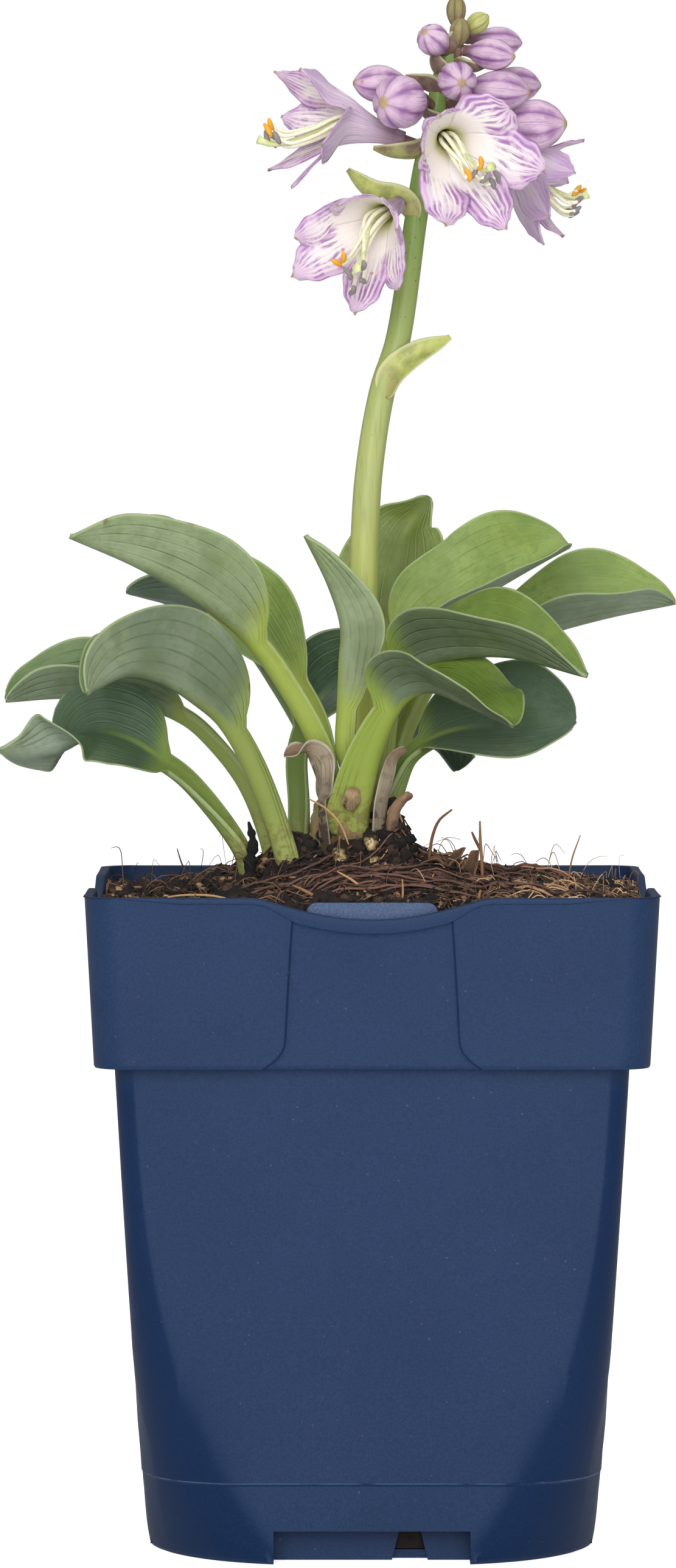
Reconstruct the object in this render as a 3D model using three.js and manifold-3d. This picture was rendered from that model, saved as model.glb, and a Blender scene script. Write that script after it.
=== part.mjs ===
// A small hosta in flower, growing in a square nursery pot of navy blue plastic.
// Millimetres, +Z up, +X to the right of the front view, the front face towards -Y.
// The origin is the middle of the pot's flat underside.
// The plant is a clump of leaves on channelled stalks, one flowering stem with opened
// bells and buds, the crown that they grow from, dry sheaths round it, and the potting soil.

import * as THREE from 'three';
import Module from 'manifold-3d';

// Pot
const POT_HEIGHT = 122.8;
const RIM_HALF = 52.5;
const COLLAR_TOP_HALF = 52.2;
const COLLAR_BOTTOM_HALF = 50.6;
const COLLAR_BOTTOM = 91.6;
const BODY_TOP_HALF = 46.9;
const BODY_FOOT_HALF = 41.8;
const SEAM_HEIGHT = 15;
const WALL = 1.2;
const FLOOR = 1.6;
const COLLAR_RADIUS = 6.5;
const FOOT_RADIUS = 30;
const PANEL_RECESS = 0.8;
const PANEL_EDGE = 14;
const CORNER_STEPS = 4;
const LIP_HEIGHT = 1.1;
const DIP_DEPTH = 3.9;
const DIP_HALF = 21;
const NOTCH_HALF = 18;
const NOTCH_DEPTH = 6.6;
const NOTCH_HEIGHT = 6.3;
const POCKET_HALF = 12;
const POCKET_BACK = -45.6;
const POCKET_FOOT = 104;
const POCKET_TOP = 121.6;

// Soil and crown
const SOIL_EDGE = 120;
const MOUND_HEIGHT = 8.6;
const CROWN_X = -3.5;
const CROWN_Y = -1.5;
const CROWN_TOP = 140.5;

// Clearance between neighbouring pieces, and the least thickness of a blade
const GAP = 0.3;
const BLADE = 0.7;
const PETAL = 0.64;

const wasm = await Module();
wasm.setup();

const potBlue = new THREE.MeshStandardMaterial({ color: 0x2b4068, roughness: 0.5 });
const soilBrown = new THREE.MeshStandardMaterial({ color: 0x3a2a1e, roughness: 0.95 });
const crownTan = new THREE.MeshStandardMaterial({ color: 0x9a8a52, roughness: 0.8 });
const sheathBrown = new THREE.MeshStandardMaterial({ color: 0x8a6b4a, roughness: 0.85 });
const leafGreen = new THREE.MeshStandardMaterial({ color: 0x7d9a63, roughness: 0.6 });
const stemGreen = new THREE.MeshStandardMaterial({ color: 0xa3bb5e, roughness: 0.55 });
const petalLilac = new THREE.MeshStandardMaterial({ color: 0xc9a9d6, roughness: 0.6 });
const stamenCream = new THREE.MeshStandardMaterial({ color: 0xe9e4b0, roughness: 0.6 });
const budPurple = new THREE.MeshStandardMaterial({ color: 0xa586b4, roughness: 0.6 });
const tipGreen = new THREE.MeshStandardMaterial({ color: 0xa9b56c, roughness: 0.6 });

const group = new THREE.Group();

// Small helpers

function radians(degrees) {
  return degrees * Math.PI / 180;
}

function vec([x, y, z]) {
  return new THREE.Vector3(x, y, z);
}

// Smooth steps between values given at places along 0 to 1.
function between(u, places, values) {
  if (u <= places[0]) return values[0];
  for (let k = 1; k < places.length; k += 1) {
    if (u <= places[k]) {
      const x = (u - places[k - 1]) / (places[k] - places[k - 1]);
      return values[k - 1] + (values[k] - values[k - 1]) * x * x * (3 - 2 * x);
    }
  }
  return values[values.length - 1];
}

function solid(points, triangles) {
  const mesh = new wasm.Mesh({
    numProp: 3,
    vertProperties: new Float32Array(points.flatMap((p) => [p.x, p.y, p.z])),
    triVerts: new Uint32Array(triangles.flat()),
  });
  return new wasm.Manifold(mesh);
}

function add(name, body, material) {
  const data = body.getMesh();
  const geometry = new THREE.BufferGeometry();
  geometry.setAttribute('position', new THREE.BufferAttribute(data.vertProperties, 3));
  geometry.setIndex(new THREE.BufferAttribute(data.triVerts, 1));
  geometry.computeVertexNormals();
  const mesh = new THREE.Mesh(geometry, material);
  mesh.name = name;
  group.add(mesh);
}

// The largest piece of a cut solid, so that no loose scrap stays.
function largest(body) {
  const pieces = body.decompose();
  return pieces.reduce((best, piece) => (piece.volume() > best.volume() ? piece : best));
}

// A solid through rings of equal length, each ring anticlockwise seen from above,
// listed from the bottom up. The first and last rings are closed to their middles.
function loft(rings) {
  const count = rings[0].length;
  const points = rings.flat();
  const triangles = [];
  for (let r = 0; r + 1 < rings.length; r += 1) {
    for (let k = 0; k < count; k += 1) {
      const a = r * count + k;
      const b = r * count + (k + 1) % count;
      triangles.push([a, b, b + count], [a, b + count, a + count]);
    }
  }
  const middle = (ring) => ring.reduce((sum, p) => sum.add(p), new THREE.Vector3()).divideScalar(count);
  const low = points.push(middle(rings[0])) - 1;
  const high = points.push(middle(rings[rings.length - 1])) - 1;
  const top = (rings.length - 1) * count;
  for (let k = 0; k < count; k += 1) {
    const next = (k + 1) % count;
    triangles.push([low, next, k], [high, top + k, top + next]);
  }
  return solid(points, triangles);
}

// A closed plate about a sheet of triangles: the sheet moved out along its normals by
// `up` and in by `down` at each point, with walls along its free edges.
function plate(points, triangles, up, down) {
  const normals = points.map(() => new THREE.Vector3());
  for (const [a, b, c] of triangles) {
    const edge = points[b].clone().sub(points[a]);
    const normal = edge.cross(points[c].clone().sub(points[a]));
    for (const k of [a, b, c]) normals[k].add(normal);
  }
  const count = points.length;
  const shifted = (way) => points.map((p, k) => p.clone().addScaledVector(normals[k].normalize(), way(k)));
  const all = [...shifted(up), ...shifted((k) => -down(k))];
  const faces = [];
  const edges = new Map();
  for (const [a, b, c] of triangles) {
    faces.push([a, b, c], [count + a, count + c, count + b]);
    for (const [from, to] of [[a, b], [b, c], [c, a]]) {
      if (!edges.delete(`${to}_${from}`)) edges.set(`${from}_${to}`, [from, to]);
    }
  }
  for (const [from, to] of edges.values()) {
    faces.push([to, from, count + from], [to, count + from, count + to]);
  }
  return solid(all, faces);
}

// A tube along a smooth line, with a radius that may change along it.
function tube(route, radius, sides, steps) {
  const curve = new THREE.CatmullRomCurve3(route.map(vec));
  const frames = curve.computeFrenetFrames(steps);
  const rings = [];
  for (let s = 0; s <= steps; s += 1) {
    const centre = curve.getPointAt(s / steps);
    const ring = [];
    for (let k = 0; k < sides; k += 1) {
      const angle = 2 * Math.PI * k / sides;
      const out = frames.normals[s].clone().multiplyScalar(Math.cos(angle));
      out.addScaledVector(frames.binormals[s], Math.sin(angle));
      ring.push(centre.clone().addScaledVector(out, radius(s / steps)));
    }
    rings.push(ring);
  }
  return loft(rings);
}

// Pot

// One level outline of the pot: a rounded square of half-width `half`. Along each side the
// points stand at the edges of the middle panel, which may lie back by `recess`. A point past
// the straight part of a side lies on the corner's circle.
function potRing(half, radius, z, { edge = PANEL_EDGE, recess = 0, lower = () => 0 } = {}) {
  const straight = half - radius;
  const steps = [Math.max(edge + 5, straight), edge + 0.4, edge, edge * 0.6, 0];
  const along = [...steps.map((x) => -x), ...steps.slice(0, -1).reverse()];
  const past = (x) => Math.max(0, Math.abs(x) - straight);
  const first = Math.asin(past(steps[0]) / radius);
  const ring = [];
  for (let side = 0; side < 4; side += 1) {
    const local = along.map((x) => {
      const back = radius - Math.sqrt(radius ** 2 - past(x) ** 2);
      return [x, back - half + (Math.abs(x) <= edge ? recess : 0)];
    });
    for (let k = 1; k < CORNER_STEPS; k += 1) {
      const angle = first + (Math.PI / 2 - 2 * first) * k / CORNER_STEPS;
      local.push([straight + radius * Math.sin(angle), -straight - radius * Math.cos(angle)]);
    }
    for (const [x, y] of local) {
      const point = new THREE.Vector3(x, y, z - lower(x));
      ring.push(point.applyAxisAngle(new THREE.Vector3(0, 0, 1), side * Math.PI / 2));
    }
  }
  return ring;
}

// How far the rim sinks in the middle of a side.
function dip(x) {
  return DIP_DEPTH * Math.max(0, 1 - (x / DIP_HALF) ** 2) ** 1.2;
}

// The lip is taller where the rim dips.
function lipFoot(x) {
  return dip(x) + LIP_HEIGHT * (1 + between(Math.abs(x), [14, 20], [1.2, 0]));
}

// Half-width and corner radius of the body under the collar: the corners widen downwards
// into cones, so that the foot is almost round.
function bodyHalf(z) {
  const foot = z < SEAM_HEIGHT ? 0.15 : 0;
  return BODY_FOOT_HALF + (BODY_TOP_HALF - BODY_FOOT_HALF) * (z / COLLAR_BOTTOM) - foot;
}

function bodyRadius(z) {
  return 4.4 + (FOOT_RADIUS - 4.4) * (1 - z / COLLAR_BOTTOM) ** 3;
}

function bodyRing(z, inset = 0) {
  return potRing(bodyHalf(z) - inset, Math.max(bodyRadius(z) - inset, 2), z);
}

const bodyLevels = [0, SEAM_HEIGHT - 0.2, SEAM_HEIGHT, 30, 55, COLLAR_BOTTOM];

function collarHalf(z) {
  const share = (z - COLLAR_BOTTOM) / (POT_HEIGHT - COLLAR_BOTTOM);
  return COLLAR_BOTTOM_HALF + (COLLAR_TOP_HALF - COLLAR_BOTTOM_HALF) * share;
}

function collarRing(z, options) {
  return potRing(collarHalf(z), COLLAR_RADIUS, z, options);
}

function box(x0, x1, y0, y1, z0, z1) {
  const corners = (z) => [[x0, y0], [x1, y0], [x1, y1], [x0, y1]].map(([x, y]) => new THREE.Vector3(x, y, z));
  return loft([corners(z0), corners(z1)]);
}

function fourSides(body) {
  const turned = [0, 90, 180, 270].map((angle) => body.rotate([0, 0, angle]));
  return wasm.Manifold.union(turned);
}

// The step in the foot of each side, and the lining wall round it.
function notch(grow) {
  const half = NOTCH_HALF + grow;
  const back = -BODY_FOOT_HALF + NOTCH_DEPTH + grow;
  const low = grow ? 0 : -1;
  return box(-half, half, -BODY_FOOT_HALF - 4, back, low, NOTCH_HEIGHT + grow);
}

function pocket(grow) {
  const front = -collarHalf(POCKET_FOOT) + PANEL_RECESS + WALL / 2;
  const plateFront = POCKET_BACK - 1;
  if (grow) {
    const half = POCKET_HALF + grow;
    return box(-half, half, front - 2, POCKET_BACK + grow, POCKET_FOOT - grow, POT_HEIGHT + 5);
  }
  const corner = 2;
  const outline = new THREE.Shape();
  outline.moveTo(-POCKET_HALF, POCKET_FOOT);
  outline.lineTo(POCKET_HALF, POCKET_FOOT);
  outline.lineTo(POCKET_HALF, POCKET_TOP - corner);
  outline.absarc(POCKET_HALF - corner, POCKET_TOP - corner, corner, 0, Math.PI / 2);
  outline.lineTo(corner - POCKET_HALF, POCKET_TOP);
  outline.absarc(corner - POCKET_HALF, POCKET_TOP - corner, corner, Math.PI / 2, Math.PI);
  const places = outline.getPoints(3).slice(0, -1);
  const ringAt = (y) => places.map((p) => new THREE.Vector3(p.x, y, p.y));
  const parts = [loft([ringAt(POCKET_BACK), ringAt(plateFront)])];
  parts.push(box(-POCKET_HALF, POCKET_HALF, front, plateFront + 0.2, POCKET_FOOT, POCKET_FOOT + 1));
  for (const x of [-7.6, 0, 7.6]) {
    parts.push(box(x - 0.4, x + 0.4, front, plateFront + 0.2, POCKET_FOOT, POT_HEIGHT - DIP_DEPTH - 1));
  }
  return wasm.Manifold.union(parts);
}

function buildPot() {
  const panel = { recess: PANEL_RECESS };
  const rings = bodyLevels.map((z) => bodyRing(z));
  rings.push(collarRing(COLLAR_BOTTOM, { edge: 20 }));
  rings.push(collarRing(COLLAR_BOTTOM + 0.6, { edge: 20, ...panel }));
  rings.push(collarRing(COLLAR_BOTTOM + 4.5, { edge: PANEL_EDGE + 1.2, ...panel }));
  rings.push(collarRing(POT_HEIGHT, { lower: (x) => lipFoot(x) + 0.3, ...panel }));
  rings.push(potRing(RIM_HALF, COLLAR_RADIUS, POT_HEIGHT, { lower: lipFoot }));
  rings.push(potRing(RIM_HALF, COLLAR_RADIUS, POT_HEIGHT, { lower: dip }));
  const inner = WALL + PANEL_RECESS + 0.1;
  rings.push(potRing(RIM_HALF - inner, COLLAR_RADIUS - 1, POT_HEIGHT, { lower: dip }));
  rings.push(potRing(collarHalf(COLLAR_BOTTOM) - inner, COLLAR_RADIUS - 1, COLLAR_BOTTOM + WALL + 1));
  for (const z of [COLLAR_BOTTOM, 30, FLOOR]) rings.push(bodyRing(z, WALL));
  const shell = loft(rings);
  const body = loft(bodyLevels.map((z) => bodyRing(z)));
  const steps = fourSides(notch(0));
  const lining = fourSides(notch(WALL)).intersect(body).subtract(steps);
  const back = -BODY_FOOT_HALF + NOTCH_DEPTH;
  const drains = fourSides(box(4.9, 9.1, back - 1, back + WALL + 1, FLOOR + 0.1, 5.2));
  const pot = shell.subtract(steps).add(lining).subtract(drains).add(pocket(0));
  add('pot', largest(pot), potBlue);
}

// Leaves
// Each leaf follows a spine from its foot to its tip. The stalk is a channel. The blade
// starts at the share `bladeFrom` of the length and has an egg-shaped outline. `fold` is the
// angle in degrees that each half of the blade rises by, and `roll` turns the whole section
// about the spine, both at the foot, at the start of the blade, halfway along it and at the tip.

const LEAVES = [
  {
    name: 'leaf_01',
    spine: [[-6, -8, 132], [-7.5, -10, 140], [-9.5, -12, 148.5], [-15.5, -15, 160],
      [-22, -18, 169], [-30, -21, 175.5], [-42, -24, 182.5], [-55.5, -25, 188]],
    bladeFrom: 0.5, width: 26, stalk: [2.8, 2.4], fold: [50, 50, 62, 55], shape: [0.5, 0.95],
  },
  {
    name: 'leaf_02',
    spine: [[-6, -2, 132], [-8, -3.5, 141], [-10, 2, 152], [-13.5, 6, 159],
      [-18, 9, 165.6], [-22, 12, 171.8], [-25.5, 16, 178.5], [-31, 20, 185]],
    bladeFrom: 0.48, width: 17, stalk: [2.3, 2], fold: [50, 40, 20, 20], roll: [-10, -35, -45, -40],
    shape: [0.6, 1],
  },
  {
    name: 'leaf_03',
    spine: [[-6, 3, 132], [-8, 5.5, 141], [-13.5, 19, 153], [-21, 25, 164.5], [-28, 29.5, 172],
      [-37, 33, 175.5], [-47, 35, 177]],
    bladeFrom: 0.5, width: 18, stalk: [2.2, 1.8], fold: [50, 30, 15, 15], roll: [0, 35, 50, 35],
    shape: [0.6, 0.8],
  },
  {
    name: 'leaf_04',
    spine: [[-15.2, -13.7, 124], [-16.5, -15, 130], [-22, -19, 145.5], [-26.5, -23, 153.5],
      [-31.5, -28, 158], [-39, -34, 162.5], [-45.5, -39, 163], [-52, -42, 159.5]],
    bladeFrom: 0.45, width: 27, stalk: [2.6, 2.1], fold: [50, 62, 86, 80], roll: [0, -2, -3, -2],
    shape: [0.5, 0.75],
  },
  {
    name: 'leaf_05',
    spine: [[-18, -6, 124], [-19, -6, 129.5], [-24, -6, 141], [-30, -7, 148.4], [-37, -9, 152.8],
      [-45, -12, 156], [-57, -14, 157.8], [-68, -15, 157.5]],
    bladeFrom: 0.52, width: 20, stalk: [2.1, 1.6], fold: [50, 56, 60, 55], roll: [0, -12, -22, -15],
    shape: [0.65, 0.65], sweep: 0.2,
  },
  {
    name: 'leaf_06',
    spine: [[-22.5, -10.5, 124], [-24, -12, 129.5], [-33.5, -15, 142], [-39, -18.5, 146.5],
      [-45, -21, 150.3], [-51.5, -22, 151.7], [-57, -23, 149.4], [-63, -23.5, 148], [-68.5, -25, 148.5]],
    bladeFrom: 0.46, width: 21.5, stalk: [2.3, 1.9], fold: [45, 25, 16, 20],
    rollPlaces: [0, 0.45, 0.66, 0.84, 1], roll: [-20, -55, -50, 55, 60], shape: [0.42, 1],
  },
  {
    name: 'leaf_07',
    spine: [[-3.4, -8, 132], [-3, -11, 141.5], [-4.7, -13.5, 148], [-4.5, -15, 156],
      [-4.5, -17, 164], [-4.5, -18, 171], [-7, -19, 178.5], [-12, -20, 188]],
    bladeFrom: 0.42, width: 18, stalk: [2.8, 2.8], fold: [50, 50, 58, 50], shape: [0.6, 0.9],
    heading: 190,
  },
  {
    name: 'leaf_08',
    spine: [[-2.5, 4, 132], [-3, 5.5, 141], [-0.5, 9, 153], [2.4, 12, 164.5], [4, 16, 175],
      [5.2, 20, 182.5], [7.2, 23, 189], [11.2, 22, 195]],
    bladeFrom: 0.5, width: 23, stalk: [2.3, 1.8], fold: [50, 35, 25, 50], shape: [0.5, 0.85],
    sweep: 0.2, heading: 80,
  },
  {
    name: 'leaf_09',
    spine: [[0.5, 1, 132], [2, 2, 141], [3, 3, 152], [4.5, 4, 160.5], [7, 5, 167],
      [11, 6, 172], [18.5, 8, 176], [29.5, 11, 182], [37.5, 13, 186]],
    bladeFrom: 0.48, width: 27, stalk: [2.5, 2], fold: [50, 45, 45, 40], roll: [0, 20, 33, 25],
    shape: [0.55, 0.6], sweep: 0.25,
  },
  {
    name: 'leaf_10',
    spine: [[0.5, 7, 132], [3.5, 8, 141], [7, 15, 152], [13, 20, 162], [22.5, 23, 166.5],
      [35.5, 25, 170.5], [46.5, 26, 173], [58.5, 26, 175]],
    bladeFrom: 0.55, width: 28, stalk: [2.2, 1.8], fold: [50, 45, 48, 45], roll: [0, 10, 22, 15],
    shape: [0.6, 0.8],
  },
  {
    name: 'leaf_11',
    spine: [[-0.6, -6, 132], [0.2, -8.5, 141], [1.6, -11, 151.5], [4, -14, 159.5], [8.5, -17, 164.5],
      [15.5, -21, 166.5], [25.5, -26, 166.5], [39.5, -31, 162.5]],
    bladeFrom: 0.46, width: 27, stalk: [2.6, 2.1], fold: [50, 45, 46, 45], roll: [0, 5, 10, 5],
    shape: [0.42, 0.95], sweep: 0.3,
  },
  {
    name: 'leaf_12',
    spine: [[-2.6, -12, 132], [-1.8, -15.5, 139], [0.3, -18.8, 148.5], [5, -24, 158], [10.5, -28, 160.5],
      [18, -34, 157.5], [26, -38, 153.5]],
    bladeFrom: 0.47, width: 25, stalk: [7, 3.1], fold: [48, 38, 23, 28], roll: [0, 0, -5, -2],
    shape: [0.42, 0.7],
  },
  {
    name: 'leaf_13',
    spine: [[1, -2, 132], [4, -3.5, 139], [7, -4, 146.5], [13, -6, 150.5], [22, -9, 152.5],
      [31.5, -12, 153], [38, -14, 153.5]],
    bladeFrom: 0.38, width: 25, stalk: [2.3, 2], fold: [45, 30, 20, 20], roll: [0, 40, 47, 47],
    shape: [0.6, 0.48],
  },
  {
    name: 'leaf_14',
    spine: [[-2, 9, 132], [-0.5, 12.5, 139], [5, 20, 146.5], [9.5, 26, 148], [13.5, 30, 146],
      [16.4, 32, 142]],
    bladeFrom: 0.5, width: 17, stalk: [2, 1.4], fold: [45, 30, 20, 20], roll: [0, 20, 30, 20],
    shape: [0.5, 0.8],
  },
  {
    name: 'leaf_15',
    spine: [[-13.5, 2.5, 124], [-13.5, 4.5, 137], [-14, 7.5, 146], [-12, 12, 153], [-7.5, 17, 159],
      [-1, 22, 162.5], [6, 26, 165.5]],
    bladeFrom: 0.5, width: 19, stalk: [2.2, 1.7], fold: [45, 25, 15, 15], roll: [0, 30, 45, 45],
    shape: [0.6, 0.7],
  },
];

// `grow` makes the same leaf thicker and wider all round, to cut clearance for it.
function leaf(form, grow = 0, lengthCells = 12, widthCells = 3) {
  const { spine, bladeFrom, width, stalk, fold, shape, sweep = 0.35, keel = 1.8 } = form;
  const roll = form.roll ?? [0, 0, 0, 0];
  const rollPlaces = form.rollPlaces;
  const line = spine.map(vec);
  line[0].addScaledVector(line[0].clone().sub(line[1]).normalize(), grow);
  const curve = new THREE.CatmullRomCurve3(line);
  const foot = vec(spine[0]);
  const tip = vec(spine[spine.length - 1]);
  const heading = new THREE.Vector3(tip.x - foot.x, tip.y - foot.y, 0).normalize();
  if (form.heading !== undefined) {
    heading.set(Math.cos(radians(form.heading)), Math.sin(radians(form.heading)), 0);
  }
  const side = new THREE.Vector3(-heading.y, heading.x, 0);
  const places = [0, bladeFrom, (1 + bladeFrom) / 2, 1];
  const [rise, fall] = shape;
  const peak = (rise / (rise + fall)) ** rise * (fall / (rise + fall)) ** fall;
  const points = [];
  const keels = [];
  const cells = widthCells * 2;
  for (let s = 0; s <= lengthCells; s += 1) {
    const u = s / lengthCells;
    const centre = curve.getPointAt(u);
    const tangent = curve.getTangentAt(u);
    const level = side.clone().addScaledVector(tangent, -side.dot(tangent)).normalize();
    const upright = tangent.clone().cross(level);
    const turn = radians(between(u, rollPlaces ?? places, roll));
    const across = level.clone().multiplyScalar(Math.cos(turn)).addScaledVector(upright, Math.sin(turn));
    const above = upright.clone().multiplyScalar(Math.cos(turn)).addScaledVector(level, -Math.sin(turn));
    const angle = radians(between(u, places, fold));
    const x = Math.max(0, (u - bladeFrom) / (1 - bladeFrom));
    const blade = width / 2 * (x ** rise * (1 - x) ** fall) / peak;
    const channel = u < bladeFrom ? stalk[0] + (stalk[1] - stalk[0]) * u / bladeFrom : stalk[1] * (1 - x);
    const half = Math.hypot(blade, channel, 0.5) + grow;
    for (let k = 0; k <= cells; k += 1) {
      const v = k / widthCells - 1;
      const reach = Math.abs(v) * half;
      const point = centre.clone();
      point.addScaledVector(across, Math.sign(v) * reach * Math.cos(angle));
      point.addScaledVector(above, reach * Math.sin(angle));
      point.addScaledVector(tangent, sweep * blade * Math.abs(v) ** 1.5);
      points.push(point);
      keels.push((keel * (1 - 0.75 * x) * Math.exp(-((reach / 1.8) ** 2))));
    }
  }
  const triangles = [];
  for (let s = 0; s < lengthCells; s += 1) {
    for (let k = 0; k < cells; k += 1) {
      const a = s * (cells + 1) + k;
      const b = a + cells + 1;
      if (k < widthCells) triangles.push([a, b, b + 1], [a, b + 1, a + 1]);
      else triangles.push([a, b, a + 1], [b, b + 1, a + 1]);
    }
  }
  return plate(points, triangles, () => BLADE / 2 + grow, (k) => BLADE / 2 + grow + keels[k]);
}

// Crown and soil

function crownBody(grow) {
  const levels = [[110, 0.3], [113, 0.7], [120, 0.95], [127, 1], [133, 0.98], [137, 0.85], [CROWN_TOP, 0.45]];
  const rings = levels.map(([z, share]) => {
    const ring = [];
    for (let k = 0; k < 16; k += 1) {
      const angle = 2 * Math.PI * k / 16;
      const lobe = 1 + 0.05 * Math.sin(5 * angle + z / 6);
      const x = CROWN_X + (8 * share * lobe + grow) * Math.cos(angle);
      const y = CROWN_Y + (13 * share * lobe + grow) * Math.sin(angle);
      ring.push(new THREE.Vector3(x, y, z + (z === CROWN_TOP ? grow : 0)));
    }
    return ring;
  });
  return loft(rings);
}

function soilHeight(x, y) {
  const mound = MOUND_HEIGHT * Math.exp(-(((x - CROWN_X) / 25) ** 2) - ((y - CROWN_Y + 2) / 27) ** 2);
  const crumbs = 0.45 * Math.sin(x * 0.45 + 1) * Math.sin(y * 0.38) + 0.3 * Math.sin(x * 0.9 - y * 0.7);
  return SOIL_EDGE + 0.6 + mound + crumbs;
}

function soilBody() {
  const outline = (half, radius, z) => {
    const ring = [];
    for (let side = 0; side < 4; side += 1) {
      const straight = half - radius;
      const local = [-0.6, -0.2, 0.2, 0.6].map((share) => [share * straight, -half]);
      for (let k = 0; k <= 4; k += 1) {
        const angle = radians(-90 + 22.5 * k);
        local.push([straight + radius * Math.cos(angle), -straight + radius * Math.sin(angle)]);
      }
      for (const [x, y] of local) {
        const point = new THREE.Vector3(x, y, z);
        ring.push(point.applyAxisAngle(new THREE.Vector3(0, 0, 1), side * Math.PI / 2));
      }
    }
    return ring;
  };
  const inset = WALL + 0.6;
  const levels = [FLOOR + GAP, 30, COLLAR_BOTTOM + 0.4];
  const rings = levels.map((z) => outline(bodyHalf(z) - inset, Math.max(bodyRadius(z) - inset, 3), z));
  const inner = WALL + PANEL_RECESS + 0.6;
  rings.push(outline(COLLAR_BOTTOM_HALF - inner, COLLAR_RADIUS, COLLAR_BOTTOM + WALL + 1.6));
  const brim = outline(COLLAR_TOP_HALF - inner, COLLAR_RADIUS, SOIL_EDGE - 1.5);
  rings.push(brim);
  for (const share of [0.97, 0.8, 0.62, 0.45, 0.28, 0.12]) {
    rings.push(brim.map((p) => {
      const [x, y] = [p.x * share, p.y * share];
      return new THREE.Vector3(x, y, soilHeight(x, y));
    }));
  }
  return loft(rings);
}

// Dry sheaths and the broken stump of an old stalk, all at the neck of the crown.

const SHEATHS = [
  {
    name: 'dry_sheath_left',
    spine: [[-11.4, -8.5, 124], [-11, -9.5, 132], [-10, -10.5, 138.5], [-9.6, -11.5, 143.5], [-10.4, -12.4, 147.4],
      [-15.6, -13, 147.6]],
    bladeFrom: 0.01, width: 10, stalk: [1.2, 0.4], fold: [48, 50, 40, 60], shape: [0.2, 0.55],
    sweep: 0, heading: 232, keel: 0,
  },
  {
    name: 'dry_sheath_right',
    spine: [[2.2, -11, 124], [2.6, -11.6, 132], [2.8, -12, 138.5], [3.4, -12.4, 143], [4.2, -12.6, 146.4],
      [6.6, -12.6, 148.4]],
    bladeFrom: 0.01, width: 7.6, stalk: [1.2, 0.4], fold: [46, 48, 40, 60], shape: [0.2, 0.6],
    sweep: 0, heading: 302, keel: 0,
  },
  {
    name: 'old_stalk_stump',
    spine: [[3.6, -10, 127], [4, -11, 132], [4.5, -12, 136.4], [6.8, -12.6, 139.6]],
    bladeFrom: 0.98, width: 1, stalk: [1.8, 1.1], fold: [40, 30, 20, 10], shape: [0.5, 0.5],
    sweep: 0, keel: 1.2,
  },
];

// Flowering stem
// The stem with the short flower stalks and the bracts that grow from it.

const STEM_LINE = [[-2.5, -2.5, 132], [-2.3, -2.5, 141], [-2, -2, 162.5], [-1.5, -2, 178.5], [-0.5, -2, 199],
  [2.1, -2, 215], [4.9, -2, 224], [8.3, -2, 246.5], [10, -2, 257], [11.6, -2, 263], [12.6, -2, 269.5],
  [14.5, -2, 277.5], [15.5, -2, 281]];
const STEM_FOOT_RADIUS = 2.7;
const STEM_TOP_RADIUS = 1.5;
const TUBE_FOOT = 1.8;
const FILAMENT_RADIUS = 0.42;

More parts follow.
